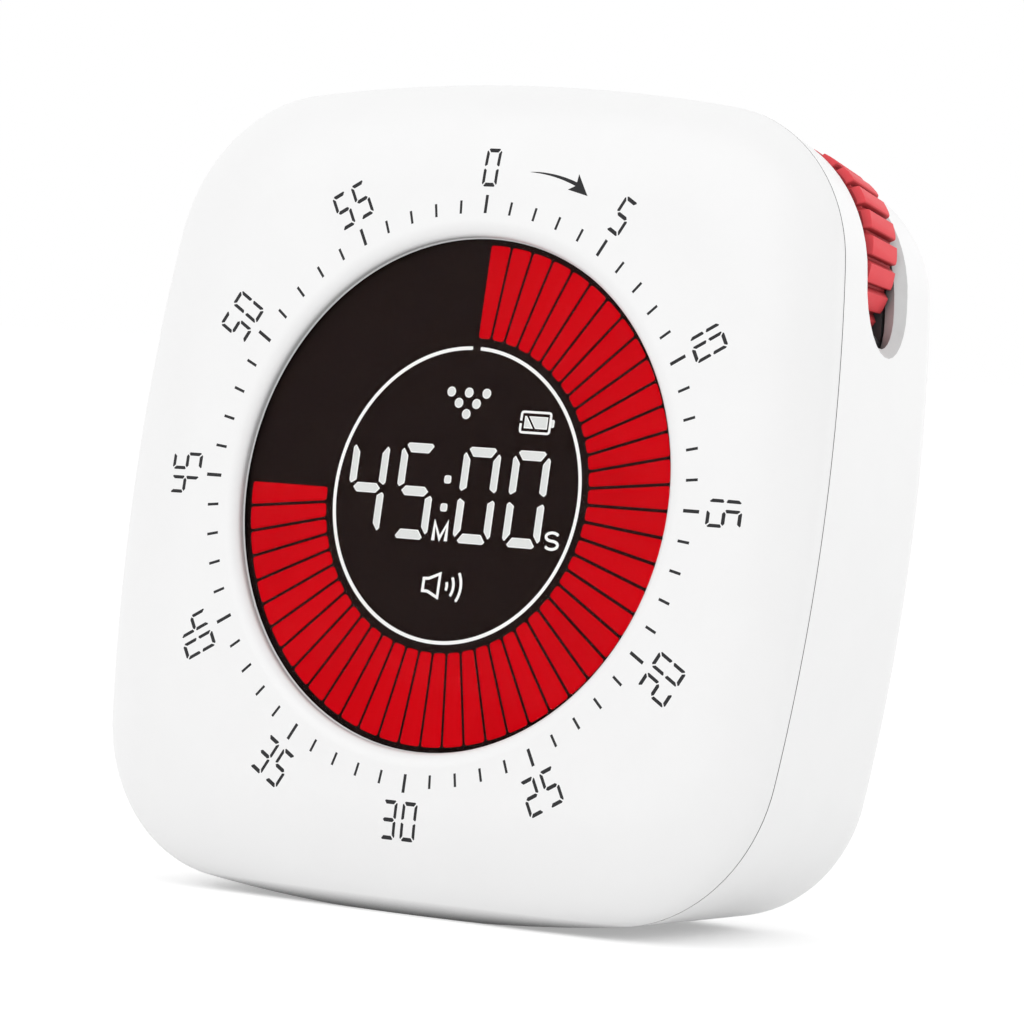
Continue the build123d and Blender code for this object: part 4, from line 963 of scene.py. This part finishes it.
def slot_cutter():
    """What the slot takes out: a straight throat whose mouth flares to a bevel."""
    straight = SLOT_HALF_LENGTH - SLOT_HALF_WIDTH
    edge = []
    for side in (1, -1):
        for step in range(SLOT_STEPS):
            edge.append((side * straight * (2 * step / SLOT_STEPS - 1), side * SLOT_HALF_WIDTH, 0, side))
        for step in range(SLOT_STEPS):
            turn = radians(90 - 180 * step / SLOT_STEPS)
            normal = (side * cos(turn), side * sin(turn))
            place = (side * straight + SLOT_HALF_WIDTH * normal[0], SLOT_HALF_WIDTH * normal[1])
            edge.append((*place, *normal))
    root, throat, mouth, outside, beyond = [], [], [], [], []
    tiny = 0.01
    width, depth = SLOT_BEVEL
    for u, v, across_u, across_v in edge:
        surface = slot_surface(u, SLOT_DEPTH + v)
        slope = (slot_surface(u + tiny * across_u, SLOT_DEPTH + v + tiny * across_v) - surface) / tiny
        flare = width / sqrt(1 + slope**2)
        wide = (u + flare * across_u, v + flare * across_v)
        opened = slot_surface(wide[0], SLOT_DEPTH + wide[1])
        start, end = Vector((u, v, surface - depth)), Vector((*wide, opened))
        past = end + (end - start)
        root.append((u, v, SLOT_ROOT))
        throat.append(start)
        mouth.append(end)
        outside.append(past)
        beyond.append((past.x, past.y, 2 * HALF_WIDTH))
    rings = []
    for ring in (root, throat, mouth, outside, beyond):
        rings.append([((w + u) / sqrt(2), (w - u) / sqrt(2), -SLOT_DEPTH - v) for u, v, w in ring])
    return loft(rings)


# The mouth of the slot has a fine matt spark-eroded grain; its grey, darker than the case, is painted
# shade, and ambient occlusion adds painted shade near other surfaces.
eroded_shaded_abs = finish(
    "spark_eroded_abs_painted_shade", "#D3D3D3", "#D0D0D0", 0.15, (0.6, 0.7), 0.003, 1.6, **{"Specular IOR Level": 0.2}
)
inner = shell_rings(SHELL_WALL, CORE_EDGE_RADIUS, BACK_WALL, 2)
outer = shell_rings(0, BACK_EDGE_RADIUS, BACK_DEPTH, TAPER_STEPS)
tongue_depth = SEAM_DEPTH - TONGUE_HEIGHT
tongue = [
    outline(SHELL_WALL, tongue_depth), outline(SHELL_WALL - TONGUE_WALL, tongue_depth),
    outline(SHELL_WALL - TONGUE_WALL, SEAM_DEPTH)
]
shell = loft([*reversed(inner), *tongue, *outer])

wall_middle = (BACK_WALL + BACK_DEPTH) / 2
bay_box = [size + 2 * BAY_WALL for size in BAY_SIZE]
post = [(POST_RADIUS, POST_START), (POST_RADIUS, wall_middle)]
posts = [turned(post, x, y) for x, y in CASE_SCREW_PLACES]
bay = block(bay_box, 0, BAY_CENTRE, BAY_FLOOR - BAY_WALL, wall_middle)
shell = combined(shell, "UNION", *posts, bay)
shell = combined(shell, "UNION", block(LID_FRAME, 0, BAY_CENTRE, LID_FRAME_FRONT, wall_middle))

well = [(SHANK_WELL, POST_START - OVERCUT), (SHANK_WELL, HEAD_SEAT)]
well += [(HEAD_WELL, HEAD_SEAT), (HEAD_WELL, BEYOND)]
wells = [turned(well, x, y) for x, y in CASE_SCREW_PLACES]
sounder_x, sounder_y = SOUNDER_PLACE
wall_cut = (BACK_WALL - OVERCUT, BEYOND)
grille = []
for row in range(GRILLE_COUNT):
    offset = (row - (GRILLE_COUNT - 1) / 2) * GRILLE_PITCH
    size = (2 * sqrt(GRILLE_RADIUS**2 - offset**2), GRILLE_SLOT)
    grille.append(block(size, sounder_x, sounder_y + offset, *wall_cut, ROUND_END * GRILLE_SLOT))
bay = block(BAY_SIZE, 0, BAY_CENTRE, BAY_FLOOR, BEYOND)
track = block(TRACK_SIZE, *SWITCH_PLACE, TRACK_DEPTH, BEYOND, TRACK_CORNER)
shell = combined(shell, "DIFFERENCE", slot_cutter(), *wells, *grille, bay, track)
lid_width, lid_height = LID_SIZE
recess = box_outline(lid_width + 2 * LID_GAP, lid_height + 2 * LID_GAP)
recess = rounded(recess, (SHARP, SHARP, LID_CORNER + LID_GAP, LID_CORNER + LID_GAP))
lid_front = BACK_DEPTH - LID_THICKNESS
recess = prisms([placed(recess, 0, BAY_CENTRE)], lid_front - FIT_GAP, BEYOND)
shell = combined(shell, "DIFFERENCE", recess, block(NECK_SLOT, *SWITCH_PLACE, *wall_cut))
notch_y = BAY_CENTRE + lid_height / 2 + LID_GAP
notch = turned([(NOTCH_RADIUS, BACK_DEPTH - NOTCH_DEPTH), (NOTCH_RADIUS, BEYOND)], 0, notch_y, 96)
bore, span = PIN_RADIUS + PIN_GAP, lid_width + 2 * (PIN_LENGTH + LID_GAP)
hinge_y, hinge_depth = HINGE_PLACE
hinge_end = -lid_width / 2 - PIN_LENGTH
pin_hole = laid(turned([(bore, 0), (bore, span)]), hinge_end - LID_GAP, hinge_y, hinge_depth, -1)
shell = combined(shell, "DIFFERENCE", notch, pin_hole)
for material in (white_abs, eroded_shaded_abs):
    shell.materials.append(material)
# Faces of the slot's mouth take the second finish, whose grey is painted shade.
mouth_length, mouth_width = SLOT_HALF_LENGTH + SLOT_BEVEL[0], SLOT_HALF_WIDTH + SLOT_BEVEL[0]
for polygon in shell.polygons:
    x, y, z = polygon.center
    outside = (x + y) / sqrt(2) > SLOT_ROOT
    near = abs(x - y) / sqrt(2) < mouth_length and abs(z + SLOT_DEPTH) < mouth_width
    if outside and near and polygon.normal.dot(case_normal(polygon.center)) < MOUTH_TURN:
        polygon.material_index = 1
piece("rear_shell", case_smoothed(shell), "case", "white_plastic", white_abs, "rear_cover")

# ---------------------------------------------------------------- case screws
# Four zinc-plated pan-head screws with a cross recess, driven up their wells from the back.

SCREW_HEAD = 2.4
SCREW_HEAD_HEIGHT = 1.6
SCREW_SHANK = 1.25
SCREW_LENGTH = 9.0
SCREW_EDGE = ((0.0, 0.6), (0.15, 0.25), (0.6, 0.0))  # of the head: how far inwards and down
RECESS_LENGTH = 2.8
RECESS_WIDTH = 0.7
RECESS_DEPTH = 0.9

head_back = HEAD_SEAT + SCREW_HEAD_HEIGHT
profile = [(SCREW_SHANK, HEAD_SEAT - SCREW_LENGTH), (SCREW_SHANK, HEAD_SEAT), (SCREW_HEAD, HEAD_SEAT)]
profile += [(SCREW_HEAD - inset, head_back - drop) for inset, drop in SCREW_EDGE]
screw = turned(profile)
for size in ((RECESS_LENGTH, RECESS_WIDTH), (RECESS_WIDTH, RECESS_LENGTH)):
    screw = combined(screw, "DIFFERENCE", block(size, 0, 0, head_back - RECESS_DEPTH, BEYOND))

# Copies of a piece at the points of a mesh.
point_copies, given = new_tree("copies at points", Piece="Object")
source = add(point_copies, "GeometryNodeObjectInfo", {"Object": given["Piece"]})
inputs = {"Points": given["Geometry"], "Instance": source.outputs["Geometry"]}
copies = add(point_copies, "GeometryNodeInstanceOnPoints", inputs)
end_tree(point_copies, add(point_copies, "GeometryNodeRealizeInstances", {"Geometry": copies}), given)

places = bpy.data.meshes.new("places")
places.from_pydata([(x, y, 0) for x, y in CASE_SCREW_PLACES], [], [])
one_screw = bpy.data.objects.new("one_screw", screw)
bpy.context.scene.collection.objects.link(one_screw)
screws = grown(point_copies, places, Piece=one_screw, Material=zinc_steel)
bpy.data.objects.remove(one_screw)
piece("case_screw_set", smoothed(screws), "case", "zinc_steel", zinc_steel, "case_screws")

# ---------------------------------------------------------------- wheel
# The setting wheel is moulded in coral ABS: a crowned rim with blunt teeth that lean one way, a
# thin web and a hub pressed on the encoder's shaft. It turns in a dark cup inside the corner.

WHEEL_PLACE = 27.4  # both ways from the middle of the dial
WHEEL_STATIONS = ((10.3, 11.2), (10.95, 11.8), (10.25, 17.6))  # radius and depth
TOOTH_COUNT = 25
TOOTH_CORNERS = (  # share of the pitch, and drop below the top of the tooth
    (-0.5, 0.0), (-0.25, 0.0), (0.0, 0.0), (0.14, 0.06),
    (0.18, 0.2), (0.21, 0.75), (0.31, 0.75), (0.5, 0.0),
)
TOOTH_START = 47.8  # degrees
RIM_INNER = 8.75
HUB_RADIUS = 4.6
WEB_DEPTHS = (13.6, 15.2)
HUB_BACK = 16.6
WHEEL_EASE = 0.04
WHEEL_CREASE = 15.0  # facets that meet at more than this keep their edge
WHEEL_WELD = 0.001  # teeth whose points are nearer than this become one ring


def eased(mesh, width, angle):
    """A moulding whose edges sharper than an angle in degrees are rounded a little."""
    thing = bpy.data.objects.new("eased", mesh)
    modifier = thing.modifiers.new("bevel", "BEVEL")
    modifier.width = width
    modifier.segments = 2
    modifier.limit_method = "ANGLE"
    modifier.angle_limit = radians(angle)
    return evaluated(thing)


# Coral ABS: duller than the case, with painted shade that darkens it in the roots of the teeth and next
# to the slot's edge.
coral_abs = finish(
    "moulded_coral_abs", "#F0545A", "#EB4F56", 0.4, (0.45, 0.52), 0.002, 1.8,
    **{"Specular IOR Level": 0.15}
)
columns = []
web_front, web_back = WEB_DEPTHS
front, rear = WHEEL_STATIONS[0][1], WHEEL_STATIONS[-1][1]
before = [(0.0, front), (HUB_RADIUS, front), (HUB_RADIUS, web_front), (RIM_INNER, web_front)]
behind = [(RIM_INNER, web_back), (HUB_RADIUS, web_back), (HUB_RADIUS, HUB_BACK), (0.0, HUB_BACK)]
for share, drop in TOOTH_CORNERS:
    turn = -radians(share * 360 / TOOTH_COUNT)
    rim = [(radius - drop, depth) for radius, depth in WHEEL_STATIONS]
    profile = [*before, (RIM_INNER, front), *rim, (RIM_INNER, rear), *behind]
    columns.append([(radius * cos(turn), radius * sin(turn), -depth) for radius, depth in profile])
tooth = bmesh.new()
rows = [[tooth.verts.new(point) for point in column] for column in columns]
for row, after in zip(rows, rows[1:]):
    for low, high in zip(range(len(row) - 1), range(1, len(row))):
        tooth.faces.new((row[low], row[high], after[high], after[low]))
bmesh.ops.remove_doubles(tooth, verts=tooth.verts, dist=TINY)
wheel = grown(
    round_copies, as_mesh(tooth), Count=TOOTH_COUNT, Step=2 * pi / TOOTH_COUNT, Merge=WHEEL_WELD,
    Material=coral_abs
)
turning = bmesh.new()
turning.from_mesh(wheel)
bmesh.ops.recalc_face_normals(turning, faces=turning.faces)
wheel = eased(as_mesh(turning), WHEEL_EASE, WHEEL_CREASE)
on_axis = Matrix.Translation((WHEEL_PLACE, WHEEL_PLACE, 0))
wheel.transform(on_axis @ Matrix.Rotation(radians(TOOTH_START), 4, "Z"))
wheel = smoothed(wheel, WHEEL_CREASE)
piece("ribbed_wheel", wheel, "thumbwheel", "coral_plastic", coral_abs, "thumbwheel")

# The cup round the wheel: charcoal ABS with a fine grain; its dark colour is painted shade for the
# inside of the slot.
shade_dark_cup_abs = finish("charcoal_abs_painted_shade", "#565658", "#4C4C4E", 0.25, (0.45, 0.6), 0.01, IOR=ABS_INDEX)
dress(shade_dark_cup_abs, "wheel_carrier")
dress(zinc_steel, "encoder_shaft", "encoder_bracket")
# Encoder body: grey glass-filled nylon.
dress(finish("grey_filled_nylon", "#5C5E62", "#4E5054", 0.3, (0.5, 0.65), 0.006), "encoder_housing")
dress(solder_mask, "rear_board")
# Plug connectors: ivory nylon.
dress(finish("ivory_nylon", "#EDE7D6", "#E2DBC8", 0.5, (0.4, 0.5)), "board_headers")
# Ribbon cable: grey vinyl.
dress(finish("grey_vinyl_ribbon", "#9A9CA0", "#8A8C90", 0.6, (0.45, 0.55), 0.01), "ribbon_cable")

# ---------------------------------------------------------------- volume switch
# A small slide switch on the rear board. Its light grey ABS knob shows in a sunk track in the back,
# with grooves moulded across it for the fingertip.

KNOB_SIZE = (5.0, 3.4)
KNOB_CORNER = 0.5
KNOB_DEPTHS = (28.2, 28.9)
KNOB_NECK = 2.3
KNOB_GROOVES = 4
KNOB_GROOVE_PITCH = 1.2
KNOB_GROOVE_DEPTH = 0.35
KNOB_EASE = 0.07
MOULD_CREASE = 40.0  # knob and lid are eased where facets meet at more than this

switch_x, switch_y = SWITCH_PLACE
knob_front, knob_back = KNOB_DEPTHS
knob = block(KNOB_SIZE, switch_x, switch_y, knob_front, knob_back, KNOB_CORNER)
grooves = []
for place in range(KNOB_GROOVES):
    x = switch_x + (place - (KNOB_GROOVES - 1) / 2) * KNOB_GROOVE_PITCH
    size = (KNOB_GROOVE_PITCH / 2, 2 * KNOB_SIZE[1])
    grooves.append(block(size, x, switch_y, knob_back - KNOB_GROOVE_DEPTH, BEYOND))
knob = eased(combined(knob, "DIFFERENCE", *grooves), KNOB_EASE, MOULD_CREASE)
neck = block((KNOB_NECK, KNOB_NECK), switch_x, switch_y, BACK_WALL, knob_front + OVERLAP)
knob = joined(knob, neck)
# Knob: ABS in a light grey that stands off the white back.
grey_abs = finish("moulded_grey_abs", "#C9CBCD", "#C2C4C6", 0.3, (0.4, 0.5), 0.004, IOR=ABS_INDEX)
piece("switch_knob", smoothed(knob), "volume_switch", "grey_plastic", grey_abs, "volume_knob")
dress(tinned, "switch_body")
dress(black_abs, "switch_stem")

# ---------------------------------------------------------------- battery lid
# The lid of the bay is a white ABS plate with a round hinge edge, two moulded pins and a spring
# tongue freed by two slits, with three grip grooves over the finger notch.

SLIT_WIDTH = 0.8
SLIT_PLACE = 4.9
SLIT_LENGTH = 4.5
GRIP_COUNT = 3
GRIP_PITCH = 1.2
GRIP_SIZE = (7.4, 0.6)
GRIP_DEPTH = 0.3
HINGE_STEPS = 20
LID_EASE = 0.12
RIB_SIZE = (40.0, 0.9)
RIB_HEIGHT = 2.4
LATCH_SIZE = (9.0, 0.9)
LATCH_Y = -1.85
LATCH_HEIGHT = 1.8

lid_top = BAY_CENTRE + lid_height / 2
profile = [(lid_top, BACK_DEPTH), (lid_top, lid_front)]
for step in range(HINGE_STEPS + 1):
    turn = pi / 2 + pi * step / HINGE_STEPS
    radius = LID_THICKNESS / 2
    profile.append((hinge_y + radius * cos(turn), hinge_depth - radius * sin(turn)))
lid = loft([[(x, y, -depth) for y, depth in profile] for x in (-lid_width / 2, lid_width / 2)])
plate = box_outline(lid_width, lid_height + 2 * OVERCUT)
plate = rounded(plate, (SHARP, SHARP, LID_CORNER, LID_CORNER))
plate = prisms([placed(plate, 0, BAY_CENTRE - OVERCUT)], lid_front - OVERCUT, BEYOND)
lid = combined(lid, "INTERSECT", plate)
cuts = []
slit = (SLIT_WIDTH, 2 * SLIT_LENGTH)
for side in (-1, 1):
    cuts.append(block(slit, side * SLIT_PLACE, lid_top, lid_front - OVERCUT, BEYOND))
for place in range(GRIP_COUNT):
    y = lid_top - (place + 1) * GRIP_PITCH
    cuts.append(block(GRIP_SIZE, 0, y, BACK_DEPTH - GRIP_DEPTH, BEYOND))
lid = eased(combined(lid, "DIFFERENCE", *cuts), LID_EASE, MOULD_CREASE)
pins = turned([(PIN_RADIUS, 0), (PIN_RADIUS, lid_width + 2 * PIN_LENGTH)], steps=24)
pins = laid(pins, hinge_end, hinge_y, hinge_depth, -1)
rib = block(RIB_SIZE, 0, BAY_CENTRE, lid_front - RIB_HEIGHT, lid_front + OVERLAP)
latch = block(LATCH_SIZE, 0, LATCH_Y, lid_front - LATCH_HEIGHT, lid_front + OVERLAP)
lid = joined(lid, pins, rib, latch)
piece("bay_lid", smoothed(lid), "battery_door", "white_plastic", white_abs, "battery_door")

# ---------------------------------------------------------------- cells and their contacts
# Two small alkaline cells lie side by side, facing opposite ways: steel cans in a shrunk sleeve,
# pressed by conical springs of nickel-plated wire against sheet contacts.

CELL_PROFILE = (
    (4.3, 0.1), (4.6, 0.0), (5.05, 0.12), (5.25, 0.5), (5.25, 35.0), (5.25, 43.1), (5.05, 43.5),
    (4.6, 43.7), (4.3, 43.55), (2.3, 43.55), (1.9, 43.7), (1.9, 44.3), (1.6, 44.5)
)
CELL_DEPTH = 21.45
CELL_OFFSET = 5.4  # of each cell from the middle of the bay
CELL_END = 24.75  # where the nub touches its contact
CELL_LENGTH = 44.5
SLEEVE_END = 35.0  # where the sleeve changes to its pale band
BARE_RADIUS = 4.7  # nearer the axis than this, the ends are bare metal
SPRING_TURNS = 3.0
SPRING_FOOT = 3.4
SPRING_TIP = 2.2
SPRING_HEIGHT = 4.3
SPRING_WIRE = 0.3
SPRING_PLACE = 24.45

# Sleeve: plain vinyl shrunk tight, slate blue with a pale grey band at the button end.
body_sleeve = finish("slate_vinyl_sleeve", "#5B7384", "#54697A", 0.5, (0.22, 0.3))
band_sleeve = finish("pale_grey_vinyl_sleeve", "#C6CACD", "#BCC0C3", 0.5, (0.22, 0.3))
# Nickel plate on the cans, springs and contacts: warm silver.
nickel = finish("nickel_plated_steel", "#CFCBC3", "#BDB8AE", 0.3, (0.18, 0.3), 0.002, Metallic=1.0)
cells, springs = [], []

# A conical wire spring.
coil, given = new_tree(
    "conical spring", Turns="Float", Foot="Float", Tip="Float", Height="Float", Wire="Float"
)
inputs = {
    "Resolution": 40, "Rotations": given["Turns"], "Start Radius": given["Foot"],
    "End Radius": given["Tip"], "Height": given["Height"]
}
spiral = add(coil, "GeometryNodeCurveSpiral", inputs)
section = add(coil, "GeometryNodeCurvePrimitiveCircle", {"Resolution": 10, "Radius": given["Wire"]})
inputs = {"Curve": spiral, "Profile Curve": section, "Fill Caps": True}
end_tree(coil, add(coil, "GeometryNodeCurveToMesh", inputs), given)

for row in (-1, 1):
    y = BAY_CENTRE + row * CELL_OFFSET
    cell = turned(CELL_PROFILE, steps=64)
    cells.append(laid(cell, -row * (CELL_END - CELL_LENGTH), y, CELL_DEPTH, row))
    spring = grown(
        coil, bpy.data.meshes.new("bench"), Turns=SPRING_TURNS, Foot=SPRING_FOOT, Tip=SPRING_TIP,
        Height=SPRING_HEIGHT, Wire=SPRING_WIRE, Material=nickel
    )
    springs.append(laid(spring, row * SPRING_PLACE, y, CELL_DEPTH, -row))
cells = smoothed(joined(*cells))
for material in (body_sleeve, band_sleeve, nickel):
    cells.materials.append(material)
for polygon in cells.polygons:
    row = 1 if polygon.center.y > BAY_CENTRE else -1
    reach = CELL_LENGTH - (CELL_END + row * polygon.center.x)
    axis = Vector((BAY_CENTRE + row * CELL_OFFSET, -CELL_DEPTH))
    sleeve = 0 if reach < SLEEVE_END else 1
    polygon.material_index = sleeve if (polygon.center.yz - axis).length > BARE_RADIUS else 2
piece("alkaline_cells", cells, "case", "cell_sleeve", body_sleeve, "battery_cells")
springs = smoothed(joined(*springs))
piece("coil_springs", springs, "case", "nickel_steel", nickel, "battery_springs")
dress(nickel, "contact_plates")
# Stranded leads: red vinyl insulation.
red_vinyl = finish("red_vinyl_insulation", "#B3252B", "#A31F25", 0.5, (0.35, 0.45))
dress(red_vinyl, "battery_leads", "buzzer_leads")

# ---------------------------------------------------------------- sounder and magnets
# The sounder is a brass disc with a ceramic wafer bonded to it. Four plated magnets sit in rings
# behind the back wall, so the timer also holds to a steel door.

# Rolled brass: warm, with fine rolling marks.
brass = finish("rolled_brass", "#D0A856", "#C09A4C", 0.25, (0.25, 0.35), 0.002, Metallic=1.0)
dress(brass, "buzzer_disc")
# Silvered ceramic: pale and matt.
dress(finish("silvered_ceramic", "#E4E2DC", "#D8D6D0", 0.2, (0.5, 0.65), 0.003), "buzzer_ceramic")
dress(nickel, "magnets")

# ---------------------------------------------------------------- floor and light
# A plain pale table under even studio light: a bright surround, a large softbox in front on the
# left, and two weak ones, on the right and behind.

FLOOR_SIZE = 30.0
SURROUND = 0.86
TABLE_LIFT = 0.36  # lifts the table to the white of the surround, its shadow included
SOFTBOXES = (
    ((-1.00, -1.95, 1.20), 1.65, 10.6), ((1.05, 0.15, 0.20), 0.8, 1.6), ((0.20, 1.20, 0.45), 0.9, 0.9)
)


def seen_rays(tree):
    """1 for what the camera, a reflection or a clear piece sees, and 0 for what gives light."""
    path = add(tree, "ShaderNodeLightPath").outputs
    rays = {0: path["Is Camera Ray"], 1: path["Is Glossy Ray"]}
    either = add(tree, "ShaderNodeMath", rays, operation="MAXIMUM")
    rays = {0: either, 1: path["Is Transmission Ray"]}
    return add(tree, "ShaderNodeMath", rays, operation="MAXIMUM")


world = bpy.data.worlds.new("studio")
bpy.context.scene.world = world
tree = empty_tree(world)
lighting = add(tree, "ShaderNodeBackground", {"Color": linear("#FFFFFF"), "Strength": SURROUND})
backdrop = add(tree, "ShaderNodeBackground", {"Color": linear("#FFFFFF"), "Strength": 1.0})
mixed = add(tree, "ShaderNodeMixShader", {0: seen_rays(tree), 1: lighting, 2: backdrop})
add(tree, "ShaderNodeOutputWorld", {"Surface": mixed})

table = bpy.data.materials.new("pale_table")
tree = empty_tree(table)
matt = add(tree, "ShaderNodeBsdfDiffuse", {"Color": linear("#E8E8E8")})
glow = add(tree, "ShaderNodeMath", {0: seen_rays(tree), 1: TABLE_LIFT}, operation="MULTIPLY")
lift = add(tree, "ShaderNodeEmission", {"Color": linear("#FFFFFF"), "Strength": glow})
both = add(tree, "ShaderNodeAddShader", {0: matt, 1: lift})
add(tree, "ShaderNodeOutputMaterial", {"Surface": both})
floor_mesh = bpy.data.meshes.new("floor")
corners = [(x, y, 0) for x, y in box_outline(FLOOR_SIZE, FLOOR_SIZE)]
floor_mesh.from_pydata(corners, [], [(0, 1, 2, 3)])
floor_mesh.materials.append(table)
floor = bpy.data.objects.new("floor", floor_mesh)
bpy.context.scene.collection.objects.link(floor)

for number, (place, size, power) in enumerate(SOFTBOXES):
    lamp = bpy.data.lights.new(f"softbox_{number}", "AREA")
    lamp.size = size
    lamp.energy = power
    holder = bpy.data.objects.new(f"softbox_{number}", lamp)
    holder.location = place
    holder.rotation_mode = "QUATERNION"
    holder.rotation_quaternion = (dial_centre - Vector(place)).to_track_quat("-Z", "Y")
    bpy.context.scene.collection.objects.link(holder)

bpy.context.scene.view_settings.view_transform = "Standard"
